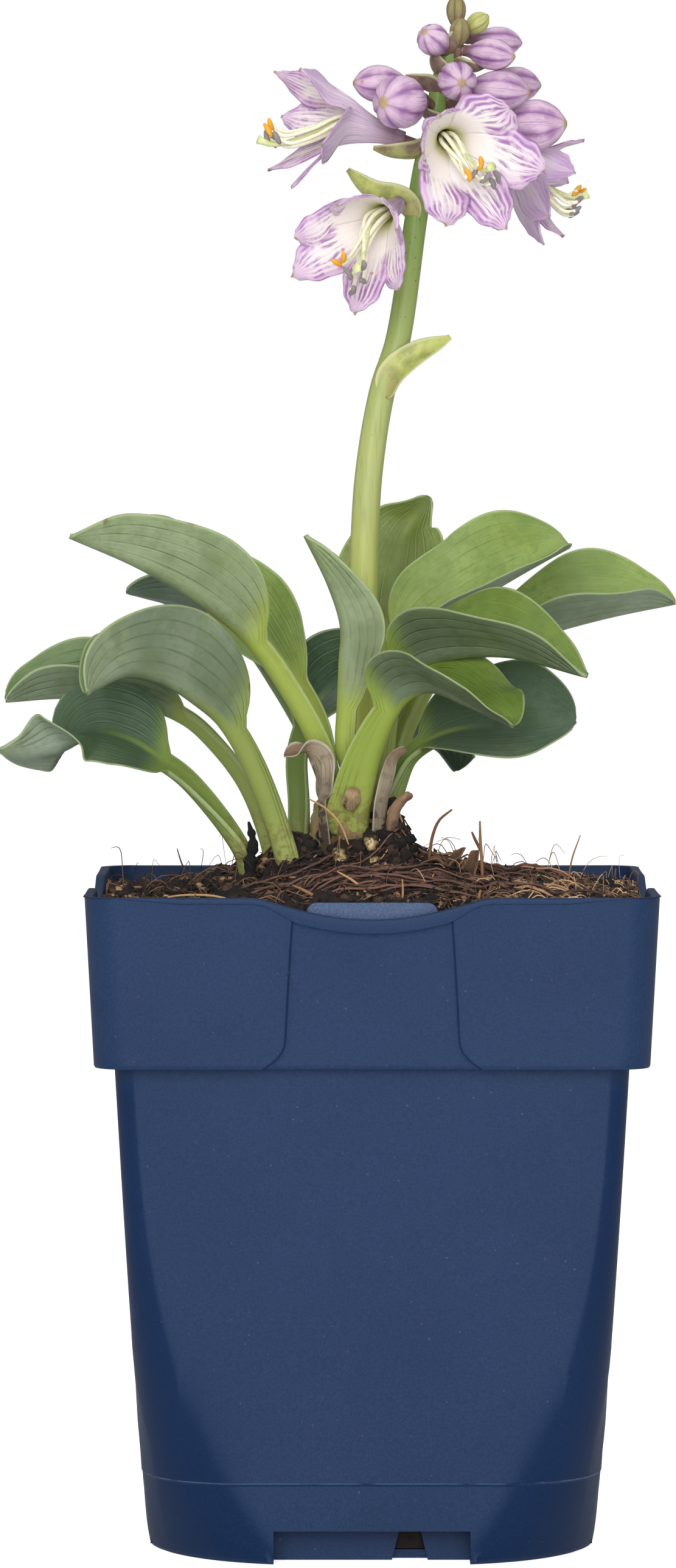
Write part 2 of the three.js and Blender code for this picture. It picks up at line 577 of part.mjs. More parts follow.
// Opened bells: where each one starts, the way it points, how far along it the throat is and
// the throat's radius, the tip and half-width of each lobe, and the ends of the six stamens
// and of the style.
const BLOOMS = [
  {
    name: 'bloom_1', from: [5.9, -4.5, 261.6], way: [-0.94, -0.2, 0.27], throat: 11.5, mouth: 4.4,
    lobes: [[-18.1, -4, 274, 3.6], [-13.2, -13, 274.4, 3.9], [-9.2, -16.5, 260.2, 5.8],
      [-16.9, 0.5, 266.1, 4.2], [-19.1, -5, 256.2, 3.6], [-14.9, -12, 252.2, 3.3]],
    ends: [[-18.7, -9, 264.1], [-19.2, -11, 263], [-17.5, -12, 261.6], [-18, -7, 261.3],
      [-18.5, -5, 262.4], [-19.5, -8, 261.8], [-21.1, -9, 261.4]],
  },
  {
    name: 'bloom_2', from: [5.1, -5.5, 249.5], way: [-0.42, -0.85, -0.32], throat: 12.5, mouth: 5.4,
    lobes: [[-6.5, -21.9, 248.9, 4], [-13.8, -18.3, 242.7, 4.4], [-14.9, -17.5, 235.7, 4.8],
      [-3.1, -22, 229, 4.6], [5.3, -24.1, 233, 3.8], [4.2, -24.8, 244, 4.2]],
    ends: [[-5.5, -25.8, 239], [-6.6, -24.2, 237.9], [-4.6, -25.1, 235.9], [-1.8, -24.2, 234.7],
      [-3.8, -23.8, 233.1], [-1.8, -28.2, 237.5], [-2.8, -29.2, 236.9]],
  },
  {
    name: 'bloom_3', from: [11.9, -4.5, 264.6], way: [0.25, -0.9, -0.36], throat: 12.5, mouth: 5.8,
    lobes: [[12.8, -22.9, 264.8, 4], [25.8, -20.5, 266.8, 6.2], [31.5, -18.6, 255.1, 6],
      [25.1, -18.4, 244.4, 5], [13.7, -21.9, 245.3, 5], [9.1, -25.4, 258, 4.6]],
    ends: [[19.6, -26.8, 256.1], [17.4, -26.5, 253.9], [18.3, -24.2, 254.4], [22.7, -23.9, 253.7],
      [21.8, -25.3, 252.5], [20.6, -27.1, 253.5], [22, -29.2, 255.5]],
  },
  {
    name: 'bloom_4', from: [17.7, 3.2, 262.3], way: [0.87, 0.14, -0.48], throat: 12, mouth: 4.6,
    lobes: [[40.3, 9, 262.3, 2.6], [38.1, -1, 255.4, 4], [33.3, -6, 247.1, 4.4],
      [32.5, 1, 242.5, 3.8], [36.3, 10, 243.9, 4], [37.5, 16, 254.4, 4.2]],
    ends: [[38.8, 5, 252.6], [39.6, 7, 252], [38.4, 3, 248.7], [37.8, 8, 249.5], [38.8, 1, 250.3],
      [38.2, 6, 248], [40.9, 5, 251.9]],
  },
];

// Buds: where each one starts, the way it points, and its size.
const BUDS = [
  { name: 'bud_1', from: [13.8, -3.6, 278], way: [-0.5, -0.75, 0.42], length: 8, radius: 2.9 },
  { name: 'bud_2', from: [17.2, -3.6, 278.2], way: [1, -0.45, -0.16], length: 10.5, radius: 2.9 },
  { name: 'bud_3', from: [18, 2.5, 280.8], way: [1, 0.35, -0.06], length: 11, radius: 2.7 },
  { name: 'bud_4', from: [14.6, -6.3, 273], way: [0.2, -0.95, -0.15], length: 10.5, radius: 3.5 },
  { name: 'bud_5', from: [16.8, -4.5, 271.2], way: [1, -0.2, -0.08], length: 13, radius: 3.7 },
  { name: 'bud_6', from: [20.5, 4.5, 272.6], way: [1, 0.3, -0.02], length: 12, radius: 3.3 },
  { name: 'bud_7', from: [7.8, -3, 272], way: [-1, -0.25, 0], length: 11.5, radius: 3.4 },
  { name: 'bud_8', from: [9.6, -6, 268.6], way: [-0.58, -0.8, -0.06], length: 13, radius: 4.9 },
  { name: 'bud_9', from: [22, 0.8, 264.2], way: [0.96, -0.25, 0.03], length: 15, radius: 4.7 },
];

const TIP_BUDS = [
  { name: 'tip_bud_1', from: [15.6, -4, 279], way: [0.06, -0.4, 1], length: 6.4, radius: 1.9 },
  { name: 'tip_bud_2', from: [15.3, -2, 281.8], way: [0.02, 0.1, 1], length: 7, radius: 1.8 },
  { name: 'tip_bud_3', from: [17.2, -1.4, 281.6], way: [0.85, 0.1, 0.6], length: 5.8, radius: 1.9 },
];

const BRACTS = [
  {
    spine: [[2.6, -4, 213.6], [4.2, -4.6, 217.5], [8.5, -5, 221.3], [14.8, -4.5, 224.8]],
    width: 6.4, heading: 0, roll: 60,
  },
  {
    spine: [[8.4, -3.4, 246.6], [5.4, -4.2, 249.8], [0.2, -4.8, 251.6], [-4.4, -4.8, 256]],
    width: 6.4, heading: 200, roll: 35,
  },
  {
    spine: [[11.4, -3, 260.8], [8.4, -4.4, 259], [4.4, -5, 259], [0.4, -4.6, 260]],
    width: 5.2, heading: 185, roll: 40,
  },
];

const BRACT_FORM = {
  bladeFrom: 0.01, stalk: [1, 0.4], fold: [35, 35, 35, 35], shape: [0.4, 0.8], sweep: 0, keel: 0.4,
};

function stemPoint(z) {
  for (let k = 1; k < STEM_LINE.length; k += 1) {
    const [low, high] = [STEM_LINE[k - 1], STEM_LINE[k]];
    if (z <= high[2]) {
      return vec(low).lerp(vec(high), (z - low[2]) / (high[2] - low[2]));
    }
  }
  return vec(STEM_LINE[STEM_LINE.length - 1]);
}

function buildStem(crown) {
  const radius = (u) => STEM_FOOT_RADIUS + (STEM_TOP_RADIUS - STEM_FOOT_RADIUS) * between(u, [0.25, 1], [0, 1]);
  const parts = [tube(STEM_LINE, radius, 7, 18)];
  for (const { from, way } of [...BLOOMS, ...BUDS, ...TIP_BUDS]) {
    const end = vec(from).addScaledVector(vec(way).normalize(), -GAP);
    const start = stemPoint(Math.min(end.z - 1.2, 280));
    const bend = end.clone().addScaledVector(vec(way).normalize(), -1.8);
    parts.push(tube([start.toArray(), bend.toArray(), end.toArray()], () => 0.8, 4, 2));
  }
  for (const bract of BRACTS) {
    const roll = Array(4).fill(bract.roll ?? 0);
    const form = { ...BRACT_FORM, ...bract, roll };
    parts.push(leaf(form, 0, 5, 1));
  }
  const flowers = BLOOMS.flatMap((form) => [bell(form, GAP), stamenCore(form, GAP)]);
  const stem = wasm.Manifold.union(parts).subtract(wasm.Manifold.union([crown, ...flowers]));
  add('flower_stem', largest(stem), stemGreen);
}

// The way a flower points, and two directions square to it, the first as upright as it can be.
function flowerFrame(way) {
  const along = vec(way).normalize();
  const up = new THREE.Vector3(0, 0, 1).addScaledVector(along, -along.z).normalize();
  return [along, up, along.clone().cross(up)];
}

// Places given by x and y across a flower and z along it.
function placed(from, way) {
  const [along, up, other] = flowerFrame(way);
  return (x, y, z) => vec(from).addScaledVector(up, x).addScaledVector(other, y).addScaledVector(along, z);
}

// A bell of six lobes: a narrow tube that widens and splits into lobes. The lobes share the
// tube's circle evenly, and each one turns towards its own tip. A lobe is kept clear of its
// neighbours by the angle between them. `grow` makes it thicker, to cut clearance for it.
function bell({ from, way, throat, mouth, lobes }, grow = 0) {
  const place = placed(from, way);
  const [along, up, other] = flowerFrame(way);
  const turned = (radius, aside, angle, z) => {
    const x = radius * Math.cos(angle) - aside * Math.sin(angle);
    const y = radius * Math.sin(angle) + aside * Math.cos(angle);
    return place(x, y, z);
  };
  const tips = lobes.map(([x, y, z, half]) => {
    const out = vec([x, y, z]).sub(vec(from));
    const [first, second] = [out.dot(up), out.dot(other)];
    return { reach: out.dot(along), spread: Math.hypot(first, second), angle: Math.atan2(second, first), half };
  });
  tips.sort((a, b) => a.angle - b.angle);
  const shifts = tips.map((tip, k) => tip.angle - Math.PI * k / 3);
  const phase = shifts.reduce((sum, shift) => sum + shift, 0) / shifts.length;
  const radiusAt = (z) => between(z, [0, 0.3 * throat, throat], [TUBE_FOOT, TUBE_FOOT + 0.4, mouth]);
  const split = 0.85 * throat;
  const tubeRows = [0, 0.15 * throat, 0.35 * throat, split];
  const points = [];
  const triangles = [];
  const quad = (a, b, c, d) => triangles.push([a, b, c], [a, c, d]);
  for (const z of tubeRows) {
    for (let k = 0; k < 12; k += 1) {
      points.push(turned(radiusAt(z), 0, phase + Math.PI * (k - 1) / 6, z));
    }
  }
  for (let r = 0; r + 1 < tubeRows.length; r += 1) {
    for (let k = 0; k < 12; k += 1) {
      const next = (k + 1) % 12;
      quad(r * 12 + k, r * 12 + next, (r + 1) * 12 + next, (r + 1) * 12 + k);
    }
  }
  const seam = (tubeRows.length - 1) * 12;
  const angleAt = (k, s) => {
    const lap = 2 * Math.PI * Math.floor(k / 6);
    return lap + phase + Math.PI * ((k + 6) % 6) / 3 + (shifts[(k + 6) % 6] - phase) * s;
  };
  tips.forEach(({ reach, spread, half }, k) => {
    let row = [seam + 2 * k, seam + 2 * k + 1, seam + (2 * k + 2) % 12];
    for (const s of [0.38, 0.78, 1]) {
      const z = split + (reach - split) * s;
      const radius = radiusAt(split) + (spread - radiusAt(split)) * s ** 1.1;
      const angle = angleAt(k, s);
      const room = Math.min(angle - angleAt(k - 1, s), angleAt(k + 1, s) - angle) / 2;
      const width = Math.min(half * Math.sqrt(1 - s ** 4) + 0.35, radius * Math.tan(room) - 0.6);
      const start = points.length;
      for (const v of [-1, 0, 1]) {
        const lift = 0.9 * Math.abs(v) * Math.sin(Math.PI * s);
        points.push(turned(radius - lift, v * width, angle, z));
      }
      quad(row[0], row[1], start + 1, start);
      quad(row[1], row[2], start + 2, start + 1);
      row = [start, start + 1, start + 2];
    }
  });
  return plate(points, triangles, () => PETAL / 2 + grow, () => PETAL / 2 + grow);
}

// The slim core in a bell's tube that its stamens grow from.
function stamenCore({ from, way, throat }, grow = 0) {
  const place = placed(from, way);
  const route = [place(0, 0, 1.2 - grow), place(0, 0, 0.35 * throat + grow)];
  return tube(route.map((p) => p.toArray()), () => 1.2 + grow, 6, 1);
}

// Six stamens and a style on one core. They leave the throat as a loose bundle, sag and turn
// up at the end.
function stamens(form) {
  const { from, way, throat, ends } = form;
  const place = placed(from, way);
  const parts = [stamenCore(form)];
  ends.forEach((end, k) => {
    const style = k === 6;
    const angle = 2 * Math.PI * k / 6;
    const out = style ? 0 : 1;
    const spot = (share, radius) => place(radius * Math.cos(angle), radius * Math.sin(angle), throat * share);
    const gate = spot(1, 1.6 * out);
    const late = gate.clone().lerp(vec(end), 0.7);
    late.z -= 1.5;
    const route = [spot(0.3, 0.8 * out).toArray(), gate.toArray(), late.toArray(), end];
    parts.push(tube(route, () => FILAMENT_RADIUS, 3, 3));
    if (!style) {
      const [x, y, z] = end;
      parts.push(tube([[x - 1, y, z], end, [x + 1, y, z]], () => 0.7, 3, 1));
    }
  });
  return largest(wasm.Manifold.union(parts));
}

// A closed bud: a short tube that swells into six ribs and closes to a blunt point.
function bud({ from, way, length, radius }, sides = 12) {
  const place = placed(from, way);
  const profile = [[0, 0.32], [0.14, 0.4], [0.42, 0.95], [0.76, 0.82], [1, 0.14]];
  const rings = profile.map(([share, size]) => {
    const ring = [];
    for (let k = 0; k < sides; k += 1) {
      const angle = 2 * Math.PI * k / sides;
      const rib = k % 2 ? 0.9 : 1.04;
      ring.push(place(radius * size * rib * Math.cos(angle), radius * size * rib * Math.sin(angle), length * share));
    }
    return ring;
  });
  return loft(rings);
}

// Assembly
// Each leaf is cut back from the crown and from the leaves before it in this order.

const CUT_ORDER = ['leaf_12', 'leaf_01', 'leaf_07', 'leaf_11', 'leaf_13', 'leaf_02', 'leaf_09', 'leaf_04',
  'leaf_05', 'leaf_06', 'leaf_03', 'leaf_08', 'leaf_10', 'leaf_15', 'leaf_14'];

buildPot();

const grownCrown = crownBody(GAP);
const cutters = [];
for (const name of CUT_ORDER) {
  const form = LEAVES.find((entry) => entry.name === name);
  let body = leaf(form).subtract(grownCrown);
  for (const cutter of cutters) body = body.subtract(cutter);
  add(name, largest(body), leafGreen);
  cutters.push(leaf(form, GAP));
}

for (const form of SHEATHS) {
  let body = leaf(form, 0, 8, 1).subtract(grownCrown);
  for (const cutter of cutters) body = body.subtract(cutter);
  add(form.name, largest(body), sheathBrown);
  cutters.push(leaf(form, GAP, 8, 1));
}

buildStem(grownCrown);

const soilHoles = [grownCrown, fourSides(notch(WALL + GAP)), pocket(GAP), ...cutters];
add('crown', crownBody(0), crownTan);
add('soil', largest(soilBody().subtract(wasm.Manifold.union(soilHoles))), soilBrown);

for (const form of BLOOMS) {
  add(form.name, bell(form), petalLilac);
  add(form.name.replace('bloom', 'stamens'), stamens(form), stamenCream);
}
for (const form of BUDS) add(form.name, bud(form), budPurple);
for (const form of TIP_BUDS) add(form.name, bud(form, 8), tipGreen);

export default group;
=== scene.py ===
import math

import bmesh
import bpy
import numpy as np
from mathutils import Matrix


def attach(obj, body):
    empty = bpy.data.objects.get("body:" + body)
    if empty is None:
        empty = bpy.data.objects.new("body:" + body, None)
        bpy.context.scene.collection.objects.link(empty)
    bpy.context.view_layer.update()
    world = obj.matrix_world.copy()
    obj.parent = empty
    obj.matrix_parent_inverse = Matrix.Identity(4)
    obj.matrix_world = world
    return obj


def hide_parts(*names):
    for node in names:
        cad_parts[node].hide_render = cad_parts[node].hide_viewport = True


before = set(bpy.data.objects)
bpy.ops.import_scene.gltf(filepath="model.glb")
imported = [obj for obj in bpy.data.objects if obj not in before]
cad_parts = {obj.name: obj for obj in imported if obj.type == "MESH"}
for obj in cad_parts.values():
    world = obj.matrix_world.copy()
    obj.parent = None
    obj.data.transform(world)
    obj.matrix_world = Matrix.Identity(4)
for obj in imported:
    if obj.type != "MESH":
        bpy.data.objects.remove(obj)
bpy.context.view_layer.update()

# A small hosta in flower in a square nursery pot. Shapes are worked out in millimetres, in the
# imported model's frame, and become metres in a mesh. Distances in shaders and the places of the
# lamps and the camera are in metres. Colours are three screen values of 0 to 255.

# The pot
# One square nursery pot of navy blue plastic, moulded in one piece: a tapering body whose
# corners widen into cones, a collar with a recessed middle panel on each side, a thin lip
# that dips in the middle of each side, and a notch with a drain slot in the foot of each side.

POT_HEIGHT = 122.8
RIM_HALF = 52.5
COLLAR_TOP_HALF = 52.2
COLLAR_BOTTOM_HALF = 50.6
COLLAR_BOTTOM = 91.6
COLLAR_RADIUS = 6.5
BODY_TOP_HALF = 46.9
BODY_FOOT_HALF = 41.8
BODY_TOP_RADIUS = 4.4
FOOT_RADIUS = 30.0
SEAM_HEIGHT = 15.0
SEAM_STEP = 0.15
WALL = 1.2
FLOOR = 1.6
PANEL_RECESS = 0.8
PANEL_EDGE = 14.2
PANEL_STEP = 0.5
LIP_HEIGHT = 1.1
DIP_DEPTH = 3.9
DIP_HALF = 21.0
NOTCH_HALF = 18.0
NOTCH_DEPTH = 6.6
NOTCH_HEIGHT = 6.3
DRAIN = (5.0, 9.0, -0.5, 5.4)
DRAIN_FLARE = 1.4
LINING_FRONT = -41.1
SCRATCH_HEIGHT = 0.01508
SCRATCH_HALF = 0.00016
SHARP_ANGLE = 42


def paint(red, green, blue):
    """A colour as a shader wants it, from its three screen values of 0 to 255: each is c/12.92
    where c is under 0.04045, and otherwise ((c + 0.055)/1.055) to the power 2.4."""
    shares = np.array([red, green, blue]) / 255
    linear = np.where(shares < 0.04045, shares / 12.92, ((shares + 0.055) / 1.055) ** 2.4)
    return (*linear.tolist(), 1.0)


def between(u, places, values):
    """Values given at places along 0 to 1, joined by smooth steps: a + (b − a)·x²·(3 − 2x),
    where x is the share of the way from one place to the next."""
    places, values = np.asarray(places, float), np.asarray(values, float)
    k = np.clip(np.searchsorted(places, u), 1, len(places) - 1)
    x = np.clip((u - places[k - 1]) / (places[k] - places[k - 1]), 0, 1)
    return values[k - 1] + (values[k] - values[k - 1]) * x * x * (3 - 2 * x)


def closed_form(name, grid, layers=None):
    """A mesh of closed forms. `grid` is (forms, rows, columns, 3): each row is a ring that runs
    anticlockwise seen from the last row, its columns join round, and the first and last rings
    are closed to the mean of their points. `layers` are values on the same grid."""
    forms, rows, columns = grid.shape[:3]

    def with_ends(values):
        """The values of each form, then the mean of its first ring and of its last."""
        ends = np.stack([values[:, 0].mean(1), values[:, -1].mean(1)], 1)
        return np.concatenate([values.reshape(forms, rows * columns, -1), ends], 1)

    points = with_ends(grid)
    base = (np.arange(forms) * points.shape[1])[:, None, None]
    row = np.arange(rows - 1)[:, None] * columns
    here = np.arange(columns)
    after = (here + 1) % columns
    quads = np.stack([row + here, row + after, row + columns + after, row + columns + here], -1)
    quads = (quads.reshape(1, -1, 4) + base).reshape(-1, 4)
    low, top = rows * columns, (rows - 1) * columns
    foot = np.stack([np.full(columns, low), after, here], -1)
    head = np.stack([np.full(columns, low + 1), top + here, top + after], -1)
    caps = (np.concatenate([foot, head])[None] + base).reshape(-1, 3)
    mesh = bpy.data.meshes.new(name)
    mesh.from_pydata((points.reshape(-1, 3) / 1000).tolist(), [], quads.tolist() + caps.tolist())
    mesh.polygons.foreach_set("use_smooth", np.ones(len(mesh.polygons), bool))
    for layer, values in (layers or {}).items():
        values = with_ends(values.reshape(forms, rows, columns, -1).astype(np.float32))
        kind, field = ("FLOAT", "value") if values.shape[-1] == 1 else ("FLOAT_VECTOR", "vector")
        mesh.attributes.new(layer, kind, "POINT").data.foreach_set(field, values.ravel())
    return mesh


def new_piece(name, mesh, material):
    """An object at the origin that shows this mesh in this material."""
    piece = bpy.data.objects.new(name, mesh)
    bpy.context.scene.collection.objects.link(piece)
    mesh.materials.clear()
    mesh.materials.append(material)
    return piece


def node(tree, kind, values=None, **settings):
    """A shader node of this kind. Each value is set on its input, or joined to it if a socket."""
    made = tree.nodes.new("ShaderNode" + kind)
    for key, value in settings.items():
        setattr(made, key, value)
    for key, value in (values or {}).items():
        if isinstance(value, bpy.types.NodeSocket):
            tree.links.new(value, made.inputs[key])
        else:
            made.inputs[key].default_value = value
    return made


def calc(operation, *values):
    """One step of arithmetic on shader values, of which at least one is a socket."""
    tree = next(v for v in values if isinstance(v, bpy.types.NodeSocket)).id_data
    return node(tree, "Math", dict(enumerate(values)), operation=operation).outputs[0]


def times(value, factor):
    """value·factor."""
    return calc("MULTIPLY", value, factor)


def scaled(value, factor, shift):
    """value·factor + shift."""
    return calc("MULTIPLY_ADD", value, factor, shift)


def axes(vector):
    """The x, y and z of a vector."""
    return node(vector.id_data, "SeparateXYZ", {"Vector": vector}).outputs


def mingle(share, first, second):
    """The first colour where the share is 0, the second where it is 1. Each is a socket, a
    shader's own four values, or three screen values to be painted."""
    first, second = (paint(*c) if isinstance(c, tuple) and len(c) == 3 else c
                     for c in (first, second))
    return node(share.id_data, "Mix", {0: share, 6: first, 7: second}, data_type="RGBA").outputs[2]


def touch(colour, mask, strength, tint):
    """The colour, with this much of the tint laid over it where the mask is 1."""
    return mingle(times(mask, strength), colour, tint)


def tinted(colour, factors):
    """The colour with its red, green and blue each times a factor."""
    values = {0: 1.0, 6: colour, 7: (*factors, 1)}
    return node(colour.id_data, "Mix", values, data_type="RGBA", blend_type="MULTIPLY").outputs[2]


def rise(value, start, end):
    """0 below the start, 1 above the end, and a smooth step between."""
    values = {"Value": value, "From Min": start, "From Max": end}
    return node(value.id_data, "MapRange", values, interpolation_type="SMOOTHSTEP").outputs[0]


def fall(value, start, end):
    """1 below the start, 0 above the end, and a smooth step between."""
    return calc("SUBTRACT", 1.0, rise(value, start, end))


def object_place(tree):
    """The place on the piece, in metres."""
    return node(tree, "TexCoord").outputs["Object"]


def noise(vector, size, detail=2.0, roughness=0.5, stretch=(1, 1, 1)):
    """Noise whose patches are about `size` millimetres across, times the stretch on each axis."""
    scale = tuple(1 / s for s in stretch)
    where = node(vector.id_data, "Mapping", {"Vector": vector, "Scale": scale}).outputs[0]
    values = {"Vector": where, "Scale": 1000 / size, "Detail": detail, "Roughness": roughness}
    return node(vector.id_data, "TexNoise", values).outputs["Fac"]


def new_material(name):
    """A material with its node tree and its main shader."""
    material = bpy.data.materials.new(name)
    material.use_nodes = True
    tree = material.node_tree
    return material, tree, tree.nodes["Principled BSDF"]


def finish_with(shader, colour, height=None, distance=0.0001, strength=1.0, rough=None):
    """Joins colour, roughness and height to the shader. The distance is in metres."""
    tree = shader.id_data
    tree.links.new(colour, shader.inputs["Base Color"])
    if rough is not None:
        tree.links.new(rough, shader.inputs["Roughness"])
    if height is not None:
        bump = node(tree, "Bump", {"Height": height, "Strength": strength, "Distance": distance})
        tree.links.new(bump.outputs[0], shader.inputs["Normal"])


def hold(shader, values):
    """Sets inputs of the shader that stay the same all over the piece."""
    for label, value in values.items():
        shader.inputs[label].default_value = value


def new_group(name, inputs, outputs):
    """A shader node group with named inputs (kind and default) and outputs."""
    tree = bpy.data.node_groups.new(name, "ShaderNodeTree")
    for label, (kind, default) in inputs.items():
        socket = tree.interface.new_socket(name=label, in_out="INPUT",
                                           socket_type="NodeSocket" + kind)
        if default is not None:
            socket.default_value = default
    for label, kind in outputs.items():
        tree.interface.new_socket(name=label, in_out="OUTPUT", socket_type="NodeSocket" + kind)
    return tree, tree.nodes.new("NodeGroupInput").outputs, tree.nodes.new("NodeGroupOutput").inputs


def make_specks_group():
    """Scattered round spots: cells of noise, of which only a share keep a spot in the middle."""
    inputs = {"Vector": ("Vector", None), "Size": ("Float", 3.0), "Share": ("Float", 0.2)}
    tree, given, result = new_group("specks", inputs, {"Mask": "Float"})
    scale = calc("DIVIDE", 1000.0, given["Size"])
    cells = node(tree, "TexVoronoi", {"Vector": given["Vector"], "Scale": scale})
    chosen = node(tree, "SeparateColor", {"Color": cells.outputs["Color"]})
    kept = calc("LESS_THAN", chosen.outputs[0], given["Share"])
    reach = scaled(chosen.outputs[1], 0.2, 0.12)
    spot = fall(calc("DIVIDE", cells.outputs["Distance"], reach), 0.6, 1.0)
    tree.links.new(times(kept, spot), result["Mask"])
    return tree


specks_group = make_specks_group()


def specks(vector, size, share):
    """Spots in cells of `size` millimetres, of which only this share have one."""
    values = {"Vector": vector, "Size": size, "Share": share}
    return node(vector.id_data, "Group", values, node_tree=specks_group).outputs[0]


def dip(x):
    """How far the rim sinks at x from the middle of a side: depth·(1 − (x/half)²)^1.2."""
    return DIP_DEPTH * np.maximum(0, 1 - (x / DIP_HALF) ** 2) ** 1.2


def lip_foot(x):
    """The lower edge of the lip, which is more than twice as tall where the rim dips."""
    return dip(x) + LIP_HEIGHT * (1 + between(np.abs(x), [13, 20], [1.3, 0]))


def pot_rings(half, radius, level, edge, recess, drop=None):
    """Level rounded squares, one row for each entry of the lists. A side has stations at x from
    the middle, closer together at the panel's edge, where the face steps back by the recess; past
    the straight part a station lies on the corner's circle. `drop` lowers each side's stations."""
    given = [np.atleast_1d(np.asarray(a, float)) for a in (half, radius, level, edge, recess)]
    half, radius, level, edge, recess = (a[:, None] for a in np.broadcast_arrays(*given))
    straight = half - radius
    room = np.minimum(1, (straight + 0.5 * radius - edge) / 21)
    outer = edge + (PANEL_STEP + np.array([0.6, 1.5, 2.6, 3.8, 5.2, 7.0, 10.0, 14.5, 20.5])) * room
    step = edge + PANEL_STEP * np.array([0, 0.12, 0.3, 0.5, 0.7, 0.88, 1.0])
    inner = edge * np.array([0.1, 0.22, 0.35, 0.48, 0.6, 0.7, 0.79, 0.87, 0.94])
    right = np.concatenate([inner, step, outer], 1)
    x = np.concatenate([-right[:, ::-1], 0 * half, right], 1)
    past = np.clip((np.abs(x) - straight) / radius, 0, 1)
    back = radius * (1 - np.sqrt(1 - past**2))
    share = np.clip((np.abs(x) - edge) / PANEL_STEP, 0, 1)
    y = -half + back + recess * (1 - share * share * (3 - 2 * share))
    z = level + 0 * x - (0 if drop is None else drop(x))
    start = np.arcsin(past[:, -1:])
    turn = start + (math.pi / 2 - 2 * start) * np.linspace(0, 1, 14)[1:-1]
    x = np.concatenate([x, straight + radius * np.sin(turn)], 1)
    y = np.concatenate([y, -straight - radius * np.cos(turn)], 1)
    z = np.concatenate([z, level + 0 * turn], 1)
    sides = [np.stack(p, -1) for p in ((x, y, z), (-y, x, z), (-x, -y, z), (y, -x, z))]
    return np.concatenate(sides, 1)


def body_half(z):
    """Half-width of the body, which tapers evenly to the foot."""
    return BODY_FOOT_HALF + (BODY_TOP_HALF - BODY_FOOT_HALF) * z / COLLAR_BOTTOM


def body_radius(z):
    """Corner radius of the body: least under the collar, growing with the cube of the way down."""
    return BODY_TOP_RADIUS + (FOOT_RADIUS - BODY_TOP_RADIUS) * (1 - z / COLLAR_BOTTOM) ** 3


def collar_half(z):
    """Half-width of the collar, which widens evenly to the rim."""
    share = (z - COLLAR_BOTTOM) / (POT_HEIGHT - COLLAR_BOTTOM)
    return COLLAR_BOTTOM_HALF + (COLLAR_TOP_HALF - COLLAR_BOTTOM_HALF) * share


def make_pot_mesh():
    """Rings from the middle of the foot up the outside, over the lip and down the inside."""
    foot = np.array([0, 0.12, 0.4, 1.0])
    low = np.concatenate([foot, [3, 5, 7, 9, 11, 13, 14.5, 14.8], [15.0, 15.3, 16],
                          np.arange(18, 91, 3.5), [91.2, 91.55]])
    inset = np.interp(low, [0, 0.12, 0.4, 1.0, 14.8, 15.0, 15.01], [0.55, 0.28, 0.08, 0, 0, 0, 0])
    inset = inset + np.where(low < SEAM_HEIGHT, SEAM_STEP, 0)
    half = body_half(low) - inset
    rings = [pot_rings(half, body_radius(low) - inset, low, PANEL_EDGE, 0)]

    under = np.array([0.2, 3.2, 3.5])
    rings.append(pot_rings(BODY_TOP_HALF + under, 6, COLLAR_BOTTOM, 19.4,
                           [0, PANEL_RECESS, PANEL_RECESS]))

    tall = POT_HEIGHT - COLLAR_BOTTOM
    up = np.concatenate([[0.12, 0.4], np.linspace(0.9, 8, 10), np.linspace(9.5, 29.2, 14)]) / tall
    level = COLLAR_BOTTOM + up * tall
    edge = (PANEL_EDGE + 0.05 * (POT_HEIGHT - level)
            + 3.9 * np.clip(1 - (level - COLLAR_BOTTOM) / 5.5, 0, 1) ** 2.4)
    half = collar_half(level) - np.where(up * tall < 0.3, 0.12, 0)
    rings += [pot_rings(h, COLLAR_RADIUS, z, e, PANEL_RECESS, lambda x, t=t: t**2 * lip_foot(x))
              for h, z, e, t in zip(half, level, edge, up)]

    top = collar_half(POT_HEIGHT)
    recess = [PANEL_RECESS, PANEL_RECESS * 0.9, PANEL_RECESS * 0.3, 0, 0]
    halves = [top, top + 0.02, top + 0.12, RIM_HALF - 0.05, RIM_HALF]
    for half, lower, back in zip(halves, [0.35, 0.1, 0.02, 0, -0.15], recess):
        rings.append(pot_rings(half, COLLAR_RADIUS, POT_HEIGHT, PANEL_EDGE, back,
                               lambda x: lip_foot(x) + lower))
    drawn_in = [0, -0.03, -0.16, -0.42, -1.2, -1.45, -1.62, -1.7]
    for half, lower in zip(drawn_in, [0.55, 0.25, 0.08, 0, 0, 0.08, 0.25, 0.6]):
        rings.append(pot_rings(RIM_HALF + half, COLLAR_RADIUS + half, POT_HEIGHT, PANEL_EDGE, 0,
                               lambda x: dip(x) + lower))

    inner = WALL + PANEL_RECESS + 0.1
    level = np.array([116.0, 110.0, 102.0, COLLAR_BOTTOM + WALL + 1])
    rings.append(pot_rings(collar_half(level) - inner, 5.5, level, PANEL_EDGE, 0))
    level = np.array([COLLAR_BOTTOM, 70, 50, 30, 12, FLOOR])
    half, radius = body_half(level) - WALL, body_radius(level) - WALL
    rings.append(pot_rings(half, radius, level, PANEL_EDGE, 0))
    return closed_form("pot", np.concatenate(rings)[None])


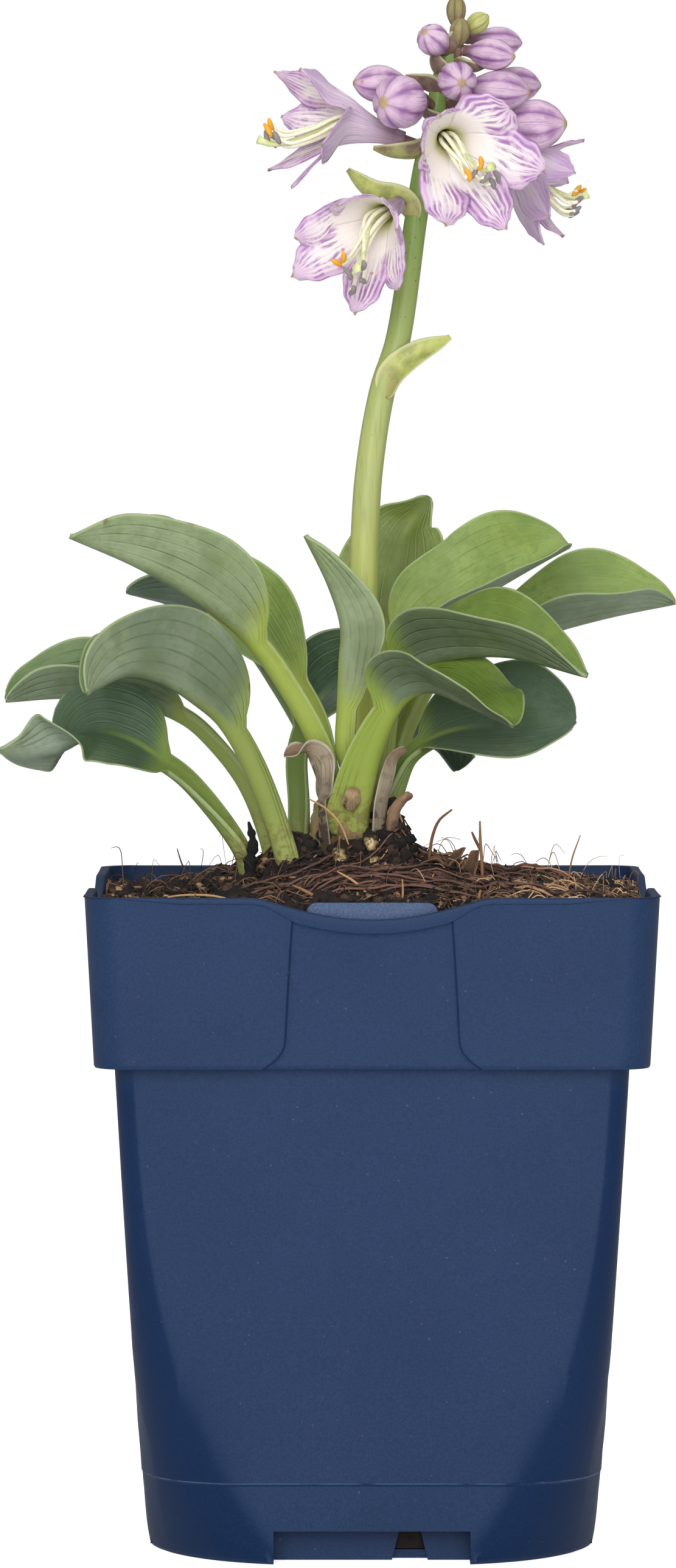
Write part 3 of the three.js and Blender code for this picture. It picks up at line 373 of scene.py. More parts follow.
def four_blocks(name, x0, x1, y0, y1, z0, z1, flare=0.0):
    """A block in the middle of the front, wider by the flare at each end of its foot, and the
    same block turned to each other side."""
    foot = np.array([[x0 - flare, y0], [x1 + flare, y0], [x1 + flare, y1], [x0 - flare, y1]], float)
    corners = np.stack([foot, [[x0, y0], [x1, y0], [x1, y1], [x0, y1]]])
    swapped = corners[..., ::-1]
    turned = np.stack([corners, swapped * [-1, 1], -corners, swapped * [1, -1]])
    levels = np.broadcast_to(np.array([z0, z1], float)[None, :, None, None], (4, 2, 4, 1))
    grid = np.concatenate([turned, levels], -1)
    return bpy.data.objects.new(name, closed_form(name, grid))


def carve(piece, steps):
    """Joins or cuts blocks, in order, into a piece's mesh, and removes the blocks."""
    for operation, block in steps:
        bpy.context.scene.collection.objects.link(block)
        cutter = piece.modifiers.new(block.name, "BOOLEAN")
        cutter.operation, cutter.object, cutter.solver = operation, block, "EXACT"
    bpy.context.view_layer.update()
    finished = piece.evaluated_get(bpy.context.evaluated_depsgraph_get())
    shaped = bpy.data.meshes.new_from_object(finished)
    piece.modifiers.clear()
    piece.data = shaped
    for _, block in steps:
        bpy.data.objects.remove(block)
    shaped.polygons.foreach_set("use_smooth", np.ones(len(shaped.polygons), bool))


def cut_notches(pot):
    """Adds the lining wall round each notch, then cuts the notch and its drain slot."""
    back = -BODY_FOOT_HALF + NOTCH_DEPTH
    wide = NOTCH_HALF + WALL
    x0, x1, z0, z1 = DRAIN
    steps = [
        ("UNION", four_blocks("lining", -wide, wide, LINING_FRONT, back + WALL, 0.5,
                              NOTCH_HEIGHT + WALL)),
        ("DIFFERENCE", four_blocks("notch", -NOTCH_HALF, NOTCH_HALF, -50, back, -1, NOTCH_HEIGHT)),
        ("DIFFERENCE", four_blocks("drain", x0, x1, back - 1, back + WALL + 1, z0, z1,
                                   DRAIN_FLARE)),
    ]
    carve(pot, steps)
    pot.data.set_sharp_from_angle(angle=math.radians(SHARP_ANGLE))


def make_plastic(name, deep, pale, shade, dust):
    """Navy plastic with a fine pale grain, specks of soil, and one thin pale scratch line. The
    round corners of the body are painted deeper in colour than the flat sides, as shade, and the
    flat sides keep a paler colour as a painted sheen."""
    material, tree, shader = new_material(name)
    place = object_place(tree)
    grain = noise(place, 0.42, 3, 0.65)
    cloud = noise(place, 26, 3)
    height = axes(place)[2]
    colour = mingle(rise(grain, 0.3, 0.8), deep, pale)
    colour = touch(colour, rise(cloud, 0.35, 0.7), 0.25, shade)
    off = calc("ABSOLUTE", calc("SUBTRACT", height, SCRATCH_HEIGHT))
    scratch = calc("SUBTRACT", SCRATCH_HALF, off)
    broken = rise(noise(place, 1.4, 3, 0.7, (4, 4, 1)), 0.3, 0.55)
    scratch = times(rise(scratch, 0.0, 0.0001), broken)
    colour = touch(colour, scratch, 0.16, (196, 206, 222))
    colour = touch(colour, specks(place, 0.9, dust), 0.35, (104, 76, 62))
    colour = touch(colour, specks(place, 0.8, 0.02), 0.14, (150, 156, 172))
    # Painted shade and sheen: where the surface turns sideways at the body's corners the colour is
    # darkened, while flat sides, upward faces and the collar keep the paler colour as a painted
    # sheen.
    facing = axes(node(tree, "TexCoord").outputs["Normal"])
    largest = calc("MAXIMUM", calc("ABSOLUTE", facing[0]), calc("ABSOLUTE", facing[1]))
    flat = calc("MAXIMUM", rise(largest, 0.955, 0.9985),
                rise(calc("ABSOLUTE", facing[2]), 0.3, 0.6))
    flat = calc("MAXIMUM", flat, rise(height, 0.0855, 0.0945))
    painted_corner_shade = tinted(colour, (0.32, 0.58, 0.75))
    colour = mingle(calc("SUBTRACT", 1.0, flat), colour, painted_corner_shade)
    hold(shader, {"Specular IOR Level": 0.12})
    rough = scaled(grain, 0.3, 0.33)
    finish_with(shader, colour, grain, 0.00004, 0.6, rough)
    return material


plastic = make_plastic("navy_plastic", (31, 50, 82), (41, 61, 94), (26, 44, 75), 0.02)
pot = new_piece("moulded_pot", make_pot_mesh(), plastic)
cut_notches(pot)
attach(pot, "root")
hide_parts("pot")

# The label pocket
# A small upright plate just inside the front wall, on three ribs, where a price card slides
# in. It is moulded with the pot from the same plastic and is dusty with soil, and its paler
# colour is partly that dust and partly painted light, as the plate lies in shade inside the wall.

POCKET_HALF = 12.0
POCKET_FRONT = -46.6
POCKET_BACK = -45.6
POCKET_FOOT = 104.0
POCKET_TOP = 121.6
RIB_PLACES = (-7.6, 0.0, 7.6)
RIB_MIDDLE = -48.2
RIB_DEPTH = 1.7
PLATE_CORNER = 2.0


def make_pocket_mesh():
    """The plate is an outline with round upper corners, carried from its back to its front with
    both edges drawn in a little."""
    turn = np.linspace(0, math.pi / 2, 8)
    x = np.concatenate([[-POCKET_HALF, POCKET_HALF],
                        POCKET_HALF - PLATE_CORNER + PLATE_CORNER * np.cos(turn),
                        PLATE_CORNER - POCKET_HALF - PLATE_CORNER * np.sin(turn)])
    z = np.concatenate([[POCKET_FOOT, POCKET_FOOT],
                        POCKET_TOP - PLATE_CORNER + PLATE_CORNER * np.sin(turn),
                        POCKET_TOP - PLATE_CORNER + PLATE_CORNER * np.cos(turn)])
    middle = (POCKET_FOOT + POCKET_TOP) / 2
    rows = []
    for y, shrink in ((POCKET_BACK, 0.2), (POCKET_BACK - 0.2, 0), (POCKET_FRONT + 0.2, 0),
                      (POCKET_FRONT, 0.2)):
        rows.append(np.stack([x * (1 - shrink / POCKET_HALF), 0 * x + y,
                              middle + (z - middle) * (1 - shrink / 9)], -1))
    return closed_form("label_pocket", np.stack(rows)[None])


def make_ribs_mesh():
    """Three upright blocks with slightly rounded edges, from the pot's wall to the plate."""
    turn = np.linspace(0, 2 * math.pi, 17)[:-1] + math.pi / 16
    squared = [np.abs(side) ** 0.4 * np.sign(side) for side in (np.cos(turn), np.sin(turn))]
    levels = np.array([POCKET_FOOT, POCKET_FOOT + 0.1, POT_HEIGHT - DIP_DEPTH - 1.2,
                       POT_HEIGHT - DIP_DEPTH - 1])
    width = np.array([0.3, 0.4, 0.4, 0.3])[:, None]
    y, z = RIB_MIDDLE + RIB_DEPTH * squared[1] + 0 * width, levels[:, None] + 0 * turn
    forms = [np.stack([x + width * squared[0], y, z], -1) for x in RIB_PLACES]
    return closed_form("label_pocket_ribs", np.stack(forms))


# Paler than the pot: partly soil dust and partly painted light on a plate that stands in shade
# inside the wall.
dusty_and_lit_plastic = make_plastic("dusty_and_lit_plastic", (66, 86, 120), (104, 120, 149), (54, 73, 107), 0.14)
for name, mesh in (("label_pocket", make_pocket_mesh()), ("label_pocket_ribs", make_ribs_mesh())):
    piece = new_piece(name, mesh, dusty_and_lit_plastic)
    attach(piece, "root")
    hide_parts("pot")

# The potting soil
# Dark crumbly compost that fills the pot, flat at the wall and heaped into a mound round the
# crown and a lower one to the right of it. It is pressed in by hand.

SOIL_EDGE = 120.0
MOUND_HEIGHT = 8.6
RIGHT_HUMP = 1.44
BACK_SINK = 3.4
CROWN_X = -3.5
CROWN_Y = -1.5


def patches(x, y, size, seed):
    """Smooth random heights between 0 and 1: random numbers on a square lattice of the given
    side, blended between the four corners round a point with steps of t²·(3 − 2t)."""
    table = np.random.default_rng(seed).random((64, 64))
    i, j = np.floor(x / size).astype(int), np.floor(y / size).astype(int)
    a, b = x / size - i, y / size - j
    a, b = a * a * (3 - 2 * a), b * b * (3 - 2 * b)
    i0, i1, j0, j1 = i % 64, (i + 1) % 64, j % 64, (j + 1) % 64
    return ((table[i0, j0] * (1 - a) + table[i1, j0] * a) * (1 - b)
            + (table[i0, j1] * (1 - a) + table[i1, j1] * a) * b)


def soil_height(x, y):
    """The edge level, plus a round hump about the crown, a lower one to its right, three clumps
    that cling to the neck, and gentle crumbs. It sinks a little towards the back wall."""
    mound = MOUND_HEIGHT * np.exp(-(((x - CROWN_X) / 25) ** 2) - ((y - CROWN_Y + 2) / 27) ** 2)
    right = RIGHT_HUMP * np.exp(-(((x - 30) / 15) ** 2) - ((y - 2) / 30) ** 2)
    clump = 10.0 * np.exp(-(((x - 3.6) / 4.0) ** 2) - ((y + 12) / 6) ** 2)
    clump = clump + 4.8 * np.exp(-(((x + 14) / 4) ** 2) - ((y + 8) / 8) ** 2)
    clump = clump + 2.4 * np.exp(-(((x + 4) / 6) ** 2) - ((y + 15) / 4) ** 2)
    crumbs = 1.6 * (patches(x, y, 6, 1) - 0.5) + 1.0 * (patches(x, y, 2.6, 2) - 0.5)
    back = BACK_SINK * between(y + 0 * x, [8, 40], [0, 1])
    return SOIL_EDGE + 0.4 + mound + right + clump + crumbs - back


def make_soil_mesh():
    """Rings up inside the wall, then rings that shrink to the middle and lie at the soil's height
    plus small lumps, which are the cube and the square of fine patches."""
    inset = WALL + 0.6
    inside = BODY_FOOT_HALF - NOTCH_DEPTH - WALL - 0.4
    rings = [pot_rings(inside, 18, [FLOOR + 0.3, NOTCH_HEIGHT + WALL + 0.3], 9, 0)]
    level = np.array([NOTCH_HEIGHT + WALL + 0.35, 15, 30, 60, COLLAR_BOTTOM + 0.4])
    rings.append(pot_rings(body_half(level) - inset, body_radius(level) - inset, level, 14, 0))
    inner = WALL + PANEL_RECESS + 0.6
    half = np.array([COLLAR_BOTTOM_HALF, COLLAR_TOP_HALF]) - inner
    level = [COLLAR_BOTTOM + WALL + 1.6, SOIL_EDGE - 1.8]
    rings.append(pot_rings(half, COLLAR_RADIUS, level, 14, 0))
    brim = rings[-1][-1]
    share = np.concatenate([np.linspace(0.995, 0.96, 4), np.linspace(0.945, 0.03, 84)])[:, None]
    x, y = brim[None, :, 0] * share, brim[None, :, 1] * share
    lumps = 3.2 * patches(x, y, 1.5, 3) ** 3 + 1.2 * patches(x, y, 0.8, 4) ** 2 - 0.9
    z = soil_height(x, y) + lumps
    z = (SOIL_EDGE - 1.6) + (z - SOIL_EDGE + 1.6) * np.clip((1 - share) / 0.035, 0, 1) ** 0.5
    rings.append(np.stack([x, y, z], -1))
    return closed_form("potting_soil", np.concatenate(rings)[None])


def cut_pocket(soil):
    """Cuts the soil away in front of the label plate."""
    room = four_blocks("pocket_room", -POCKET_HALF - 0.4, POCKET_HALF + 0.4, -52,
                       POCKET_BACK + 0.15, POCKET_FOOT, 130)
    keep = np.arange(len(room.data.vertices)) < len(room.data.vertices) // 4
    shaper = bmesh.new()
    shaper.from_mesh(room.data)
    shaper.verts.ensure_lookup_table()
    bmesh.ops.delete(shaper, geom=[v for v, kept in zip(shaper.verts, keep) if not kept],
                     context="VERTS")
    shaper.to_mesh(room.data)
    shaper.free()
    carve(soil, [("DIFFERENCE", room)])


def make_soil_finish():
    """Near black to brown compost, patchy at three sizes, matt, with a few pale grains."""
    material, tree, shader = new_material("potting_soil")
    place = object_place(tree)
    colour = mingle(rise(noise(place, 2.2, 5, 0.7), 0.35, 0.7), (12, 10, 10), (50, 36, 29))
    colour = touch(colour, rise(noise(place, 14, 2), 0.45, 0.7), 0.6, (28, 23, 22))
    colour = mingle(specks(place, 1.6, 0.1), colour, (112, 84, 62))
    finish_with(shader, colour, noise(place, 0.7, 5, 0.7), 0.0005, 1.0)
    hold(shader, {"Roughness": 0.92})
    return material


soil_finish = make_soil_finish()
soil = new_piece("potting_soil", make_soil_mesh(), soil_finish)
cut_pocket(soil)
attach(soil, "root")
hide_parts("soil")

# Crumbs and chips
# Loose crumbs and clods of compost and small flat chips of bark, spread over the soil inside
# the wall. They were left as the pot was filled and watered.

SPOT_REACH = 49.0
CRUMBS = 3400
CHIPS = 420
SCATTERED_CLODS = 150
NECK_CLODS = (110, 60)


def spots_on_soil(count, seed):
    """Random places on the soil inside the wall, clear of the crown and of the label pocket."""
    random = np.random.default_rng(seed)
    spots = random.uniform(-SPOT_REACH, SPOT_REACH, (count * 2, 2))
    clear = ((spots[:, 0] - CROWN_X) / 9) ** 2 + ((spots[:, 1] - CROWN_Y) / 14) ** 2 > 1
    clear &= (np.abs(spots[:, 0]) > POCKET_HALF + 1.5) | (spots[:, 1] > POCKET_BACK + 1)
    return spots[clear][:count]


def lumps_mesh(name, spots, sizes, flat, seed, lift=0.1):
    """Small rough balls: three rings of five points each, pushed in and out at random, pressed
    flat by the share given, turned about two axes, and set on the soil."""
    random = np.random.default_rng(seed)
    count = len(spots)
    turn = np.linspace(0, 2 * math.pi, 6)[:-1]
    ring = np.array([0.62, 1.0, 0.6])[:, None]
    ball = np.stack([ring * np.cos(turn), ring * np.sin(turn),
                     np.array([-0.6, 0, 0.62])[:, None] + 0 * turn], -1)
    forms = ball[None] * random.uniform(0.65, 1.2, (count, 3, 5, 1)) * sizes[:, None, None, None]
    forms[..., 2] *= flat
    tilt, spin = random.normal(0, 0.5, count), random.uniform(0, 2 * math.pi, count)
    c, s = np.cos(tilt)[:, None, None], np.sin(tilt)[:, None, None]
    x, y, z = np.moveaxis(forms, -1, 0)
    y, z = y * c - z * s, y * s + z * c
    c, s = np.cos(spin)[:, None, None], np.sin(spin)[:, None, None]
    x, y = x * c - y * s, x * s + y * c
    height = soil_height(spots[:, 0], spots[:, 1]) + lift + 0.25 * sizes
    grid = np.stack([x + spots[:, 0, None, None], y + spots[:, 1, None, None],
                     z + height[:, None, None]], -1)
    tone = np.broadcast_to(random.random(count)[:, None, None, None], (*grid.shape[:3], 1))
    return closed_form(name, grid, {"tone": tone})


def toned_material(name, dark, pale, rare, share, roughness=0.9):
    """A finish for many small bits. Each bit has its own tone from dark to pale, a few have the
    rare colour, and fine noise breaks up each one."""
    material, tree, shader = new_material(name)
    place = object_place(tree)
    tone = node(tree, "Attribute", attribute_name="tone").outputs["Fac"]
    fine = noise(place, 0.6, 4, 0.65)
    mixed = scaled(calc("SUBTRACT", fine, 0.5), 0.9, tone)
    colour = mingle(rise(mixed, 0.0, 1.0), dark, pale)
    chosen = calc("GREATER_THAN", tone, 1 - share)
    colour = touch(colour, chosen, 0.85, rare)
    finish_with(shader, colour, fine, 0.0001, 0.7)
    hold(shader, {"Roughness": roughness})
    return material


random = np.random.default_rng(11)
crumb_spots = spots_on_soil(CRUMBS, 12)
crumb_finish = toned_material("compost_crumb", (10, 8, 8), (88, 64, 50), (186, 146, 110), 0.08)
crumb_sizes = 0.35 + 0.9 * random.random(CRUMBS) ** 2.2
crumb_mesh = lumps_mesh("compost_crumbs", crumb_spots, crumb_sizes, 0.8, 13)
crumbs = new_piece("compost_crumbs", crumb_mesh, crumb_finish)
chip_spots = spots_on_soil(CHIPS, 14)
chip_finish = toned_material("bark_chip", (42, 28, 22), (146, 112, 86), (206, 172, 132), 0.14)
chip_sizes = 0.6 + 1.1 * random.random(CHIPS) ** 1.6
chip_mesh = lumps_mesh("bark_chips", chip_spots, chip_sizes, 0.25, 15, 0.4)
chips = new_piece("bark_chips", chip_mesh, chip_finish)
by_neck = np.random.default_rng(17)
clod_spots = np.concatenate([spots_on_soil(SCATTERED_CLODS, 16),
                             by_neck.normal((1.5, -16), (4.5, 3), (NECK_CLODS[0], 2)),
                             by_neck.normal((-14, -12), (4, 5), (NECK_CLODS[1], 2))])
clod_finish = toned_material("compost_clod", (10, 9, 9), (44, 33, 28), (66, 48, 38), 0.1)
clod_sizes = 0.8 + 1.3 * random.random(len(clod_spots)) ** 2
clod_mesh = lumps_mesh("compost_clods", clod_spots, clod_sizes, 0.8, 18, -0.1)
clods = new_piece("compost_clods", clod_mesh, clod_finish)
for piece in (crumbs, chips, clods):
    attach(piece, "root")
    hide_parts("soil")

# Roots, fibres and twigs
# Coconut fibres and dead roots in the compost: short fibres all over, a mat of long brown
# roots swept over the mound in front of and beside the crown, a few twigs and straws, and the
# stub of one dark old root.

STRAND_REACH = 49.3
HAIR_REACH = 49.4
STRAND_SINK = 0.25
FIBRES = 2600
FRONT_ROOTS = 210
SIDE_ROOTS = 190
HAIRS = 300


def tubes(paths, radii, sides):
    """Tubes along paths (count, rows, 3): rings of the given radius square to each path. The
    first ring's direction is square to the path, and each next one is the last with its part
    along the path taken away, so that no tube twists."""
    along = np.gradient(paths, axis=1)
    along /= np.linalg.norm(along, axis=2, keepdims=True) + 1e-9
    start = np.where(np.abs(along[:, 0, 2:]) < 0.8, [[0.0, 0.0, 1.0]], [[1.0, 0.0, 0.0]])
    across = np.empty_like(paths)
    across[:, 0] = start
    for row in range(paths.shape[1]):
        kept = across[:, max(row - 1, 0)]
        kept = kept - along[:, row] * np.sum(kept * along[:, row], 1, keepdims=True)
        across[:, row] = kept / (np.linalg.norm(kept, axis=1, keepdims=True) + 1e-9)
    other = np.cross(along, across)
    turn = np.linspace(0, 2 * math.pi, sides + 1)[:-1][None, None, :, None]
    ring = across[:, :, None] * np.cos(turn) + other[:, :, None] * np.sin(turn)
    return paths[:, :, None] + ring * np.broadcast_to(radii, paths.shape[:2])[:, :, None, None]


def strand_paths(starts, headings, lengths, rows, lift, curl, seed, bend=0.0):
    """Wandering lines on the soil: the heading turns evenly by `bend` and by a chance share of
    `curl`, and swings with a sine, and each line rises over the soil by lift·sin(π·t)."""
    random = np.random.default_rng(seed)
    count = len(starts)
    t = np.linspace(0, 1, rows)[None]
    swing = random.normal(0, 0.35, (count, 1))
    turns = t * random.uniform(0.7, 1.8, (count, 1)) + random.random((count, 1))
    swing = swing * np.sin(2 * math.pi * turns)
    way = headings[:, None] + (bend + curl * random.normal(0, 1, (count, 1))) * t + swing
    pace = lengths[:, None] / (rows - 1)
    x = starts[:, :1] + np.cumsum(np.cos(way) * pace, 1)
    y = starts[:, 1:2] + np.cumsum(np.sin(way) * pace, 1)
    x = np.clip(x, -STRAND_REACH, STRAND_REACH)
    front = np.where(np.abs(x) < POCKET_HALF + 0.8, POCKET_BACK + 0.4, -STRAND_REACH)
    y = np.clip(y, front, STRAND_REACH)
    height = lift * random.random((count, 1)) ** 1.5
    z = (soil_height(x, y) - STRAND_SINK + height * np.sin(math.pi * t)
         + 0.3 * random.random((count, 1)))
    return np.stack([x, y, z], -1)


def strands_mesh(name, paths, radius, sides, seed):
    """Thin tubes along the paths, thinner towards both ends. Each has its own tone, which is
    paler towards the right of the pot."""
    random = np.random.default_rng(seed)
    count, rows = paths.shape[:2]
    t = np.linspace(0, 1, rows)[None]
    taper = 0.35 + 0.65 * np.sin(math.pi * np.clip(t, 0.03, 0.97)) ** 0.5
    thick = radius * random.uniform(0.6, 1.3, (count, 1)) * taper
    grid = tubes(paths, thick, sides)
    shade = np.clip(0.92 * random.random(count) + 0.006 * paths[:, 0, 0], 0, 1)
    tone = np.broadcast_to(shade[:, None, None, None], (*grid.shape[:3], 1))
    return closed_form(name, grid, {"tone": tone})


random = np.random.default_rng(21)
fibre_spots = spots_on_soil(FIBRES, 22)
fibre_spots = fibre_spots[random.random(FIBRES) < between(fibre_spots[:, 0], [-12, 14], [0.4, 1.0])]
many = len(fibre_spots)
fibre_paths = strand_paths(fibre_spots, random.uniform(0, 2 * math.pi, many),
                           random.uniform(3, 13, many), 8, 2.6, 0.9, 23)
fibre_finish = toned_material("coir_fibre", (40, 27, 23), (156, 118, 92), (222, 184, 142), 0.2)
fibre_mesh = strands_mesh("coir_fibres", fibre_paths, 0.13, 3, 24)
fibres = new_piece("coir_fibres", fibre_mesh, fibre_finish)

mat_starts = np.stack([random.normal(-15, 7, FRONT_ROOTS), random.uniform(-47, -36, FRONT_ROOTS)],
                      1)
mat_paths = strand_paths(mat_starts, random.normal(0.95, 0.16, FRONT_ROOTS),
                         random.uniform(24, 48, FRONT_ROOTS), 20, 2.6, 0.16, 25, bend=-0.95)
side_starts = np.stack([random.uniform(4, 24, SIDE_ROOTS), random.uniform(-34, 20, SIDE_ROOTS)], 1)
side_paths = strand_paths(side_starts, random.normal(-0.45, 0.6, SIDE_ROOTS),
                          random.uniform(12, 32, SIDE_ROOTS), 20, 2.4, 0.5, 26, bend=-0.3)
root_finish = toned_material("dead_root", (28, 19, 19), (130, 94, 80), (190, 148, 118), 0.14)
mat_mesh = strands_mesh("root_mat", np.concatenate([mat_paths, side_paths]), 0.25, 4, 27)
root_mat = new_piece("root_mat", mat_mesh, root_finish)

# Fine hairs that stand up from the soil: each goes up evenly and leans out with the square of
# the way along it.
hair_spots = spots_on_soil(HAIRS, 31)
t = np.linspace(0, 1, 8)[None]
lean, reach = random.uniform(0, 2 * math.pi, (HAIRS, 1)), random.uniform(0.5, 7.0, (HAIRS, 1))
tall = 1.0 + 7.5 * random.random((HAIRS, 1)) ** 3.2
foot_x, foot_y = hair_spots[:, :1], hair_spots[:, 1:]
hair_x = foot_x + reach * np.cos(lean) * t**2 + 0.4 * np.sin(5 * t + lean)
hair_y = foot_y + reach * np.sin(lean) * t**2 + 0.4 * np.sin(4 * t + 2 * lean)
hair_z = (soil_height(foot_x, foot_y) - 0.4
          + tall * np.sin(t * random.uniform(1.2, 2.9, (HAIRS, 1))))
hair_x, hair_y = (np.clip(place, -HAIR_REACH, HAIR_REACH) for place in (hair_x, hair_y))
hair_mesh = strands_mesh("root_hairs", np.stack([hair_x, hair_y, hair_z], -1), 0.09, 3, 32)
hairs = new_piece("root_hairs", hair_mesh, fibre_finish)
for piece in (fibres, root_mat, hairs):
    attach(piece, "root")
    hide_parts("soil")

STRAWS = [
    [(5.4, -42, 119.5), (5.5, -42.2, 121.6), (5.6, -42.2, 123.6), (5.5, -42, 125.6)],
    [(18.6, -43.5, 118.9), (18.9, -43.5, 120.4), (19.3, -43.5, 122), (19.7, -43.5, 123.8)],
    [(-14.5, -37, 124.2), (-12.4, -39, 123.4), (-9.8, -41, 122.0), (-7.4, -43.5, 120)],
    [(-6.4, -34, 126.6), (-3.4, -37, 125.0), (-0.6, -40, 122.6), (2.2, -43.5, 119.8)],
    [(-11.6, -19.5, 139.2), (-8.4, -20.5, 137.4), (-5.8, -21.5, 134.6), (-4.2, -22, 130.8)],
    [(-40, -38, 121.6), (-34, -40, 122.6), (-27, -42, 122.2), (-21, -44, 119.4)],
    [(-20.6, -44, 121.6), (-20, -44.4, 120.6), (-19.2, -44.8, 119.6), (-18.4, -45, 118.4)],
]
TWIGS = [
    [(10.4, -15, 124), (10.9, -15, 129.3), (11.4, -15, 132.2), (12.6, -15, 135), (15.0, -15, 137)],
    [(20.6, -18, 121), (20.5, -18, 127), (20.2, -18, 131), (20.1, -18, 135)],
    [(18.6, -18, 133), (19.2, -18, 131.6), (19.8, -18, 130.4), (20.4, -18, 129)],
    [(35.8, -22, 119.5), (36.4, -22, 124), (37.0, -22, 128), (38.6, -22, 132.6)],
    [(-30, -22, 120.5), (-33.5, -21, 124.5), (-35, -20.5, 127), (-36, -20, 130)],
    [(24, 10, 121), (27, 7, 125), (32, 3, 125.4), (40, -2, 122)],
]


def smooth_line(knots, shares):
    """Points at shares of the length of a smooth line through the knots. Between two knots the
    line is the cubic whose slopes come from the neighbours, spaced by the square root of their
    distances."""
    knots = np.asarray(knots, float)
    p = np.vstack([2 * knots[0] - knots[1], knots, 2 * knots[-1] - knots[-2]])

    def at(t):
        """The cubic between the two knots that t, from 0 to 1, falls between."""
        place = np.clip(t, 0, 1) * (len(knots) - 1)
        k = np.minimum(place.astype(int), len(knots) - 2)
        w = (place - k)[:, None]
        a, b, c, d = p[k], p[k + 1], p[k + 2], p[k + 3]
        first, mid, last = (np.linalg.norm(e, axis=1, keepdims=True) ** 0.5
                            for e in (b - a, c - b, d - c))
        leave = ((b - a) / first - (c - a) / (first + mid) + (c - b) / mid) * mid
        reach = ((c - b) / mid - (d - b) / (mid + last) + (d - c) / last) * mid
        cube = 2 * (b - c) + leave + reach
        return b + w * (leave + w * (3 * (c - b) - 2 * leave - reach + w * cube))

    dense = np.linspace(0, 1, 500)
    length = np.concatenate([[0], np.cumsum(np.linalg.norm(np.diff(at(dense), axis=0), axis=1))])
    return at(np.interp(np.asarray(shares) * length[-1], length, dense))


twig_paths = np.stack([smooth_line(knots, np.linspace(0, 1, 16)) for knots in TWIGS])
twig_finish = toned_material("twig", (58, 38, 32), (122, 84, 60), (150, 108, 76), 0.1)
twigs = new_piece("twigs", strands_mesh("twigs", twig_paths, 0.26, 7, 28), twig_finish)
straw_paths = np.stack([smooth_line(knots, np.linspace(0, 1, 16)) for knots in STRAWS])
straw_finish = toned_material("straw", (150, 112, 74), (208, 168, 118), (226, 196, 150), 0.3)
straws = new_piece("straws", strands_mesh("straws", straw_paths, 0.34, 7, 29), straw_finish)
stub_share = np.linspace(0, 1, 30)
STUB = [(-22.3, -16, 121), (-22.5, -16, 127), (-22.0, -16, 131), (-22.8, -16, 134.8)]
stub_path = smooth_line(STUB, stub_share)
stub_radius = (1.25 * (1 - 0.8 * stub_share**3)
               * (1 + 0.2 * np.sin(31 * stub_share) + 0.15 * np.sin(53 * stub_share + 1)))
stub_mesh = closed_form("old_root_stub", tubes(stub_path[None], stub_radius[None], 12))
stub = new_piece("old_root_stub", stub_mesh, clod_finish)
for piece in (twigs, straws, stub):
    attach(piece, "root")
    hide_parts("soil")

# The crown
# The short woody neck of the plant, where all the stalks start: tan papery scale bases below,
# green round the fresh stalks above. It has grown just above the soil.

CROWN_TOP = 140.5
CROWN_HALF_X = 8.0
CROWN_HALF_Y = 13.0


def make_crown_mesh():
    """An oval column: rings whose size follows smooth steps up its height, lobed five times
    round and roughened by fine patches."""
    z = np.linspace(110, CROWN_TOP, 60)[:, None]
    turn = np.linspace(0, 2 * math.pi, 97)[:-1][None]
    share = between(z, [110, 120, 127, 133, 137, 139.6, CROWN_TOP],
                    [0.4, 0.95, 1, 0.97, 0.86, 0.66, 0.34])
    lobe = 1 + 0.05 * np.sin(5 * turn + z / 6) + 0.035 * np.sin(13 * turn + z / 3)
    rough = (0.07 * (patches(turn * 9, z * 0.6, 1.0, 31) - 0.5)
             + 0.05 * (patches(turn * 20, z * 1.6, 1.0, 32) - 0.5))
    rough = rough * np.sin(turn / 2) ** 0.5
    x = CROWN_X + CROWN_HALF_X * share * (lobe + rough) * np.cos(turn)
    y = CROWN_Y + CROWN_HALF_Y * share * (lobe + rough) * np.sin(turn)
    return closed_form("crown", np.stack([x, y, z + 0 * turn], -1)[None])


def make_crown_finish():
    """Upright fibres from brown at the soil through tan to yellow-green at the top."""
    material, tree, shader = new_material("crown")
    place = object_place(tree)
    height = axes(place)[2]
    strands = noise(place, 0.9, 4, 0.7, (1, 1, 9))
    blotch = noise(place, 3.5, 3, 0.6, (1, 1, 1.6))
    level = scaled(calc("SUBTRACT", blotch, 0.5), 0.02, height)
    colour = mingle(rise(level, 0.126, 0.134), (58, 42, 32), (150, 128, 86))
    colour = mingle(rise(level, 0.133, 0.141), colour, (146, 160, 76))
    colour = touch(colour, rise(strands, 0.48, 0.75), 0.65, (96, 72, 50))
    finish_with(shader, colour, strands, 0.0006, 0.9)
    hold(shader, {"Roughness": 0.8})
    return material


NUBS = [[(-8.2, -9, 132.6), (-8.8, -12.4, 132.2), (-9.0, -15.4, 131.2)],
        [(-5.0, -13, 129.6), (-5.6, -17.2, 128.8), (-5.8, -21.0, 127.6)],
        [(0.2, -13, 132), (0, -17.4, 131.2), (-0.1, -20.4, 130.2)],
        [(0.2, -14, 128.6), (0.5, -18.6, 127.8), (0.6, -22.0, 126.6)]]
NUB_RADII = [1.4, 1.9, 1.7, 1.2]


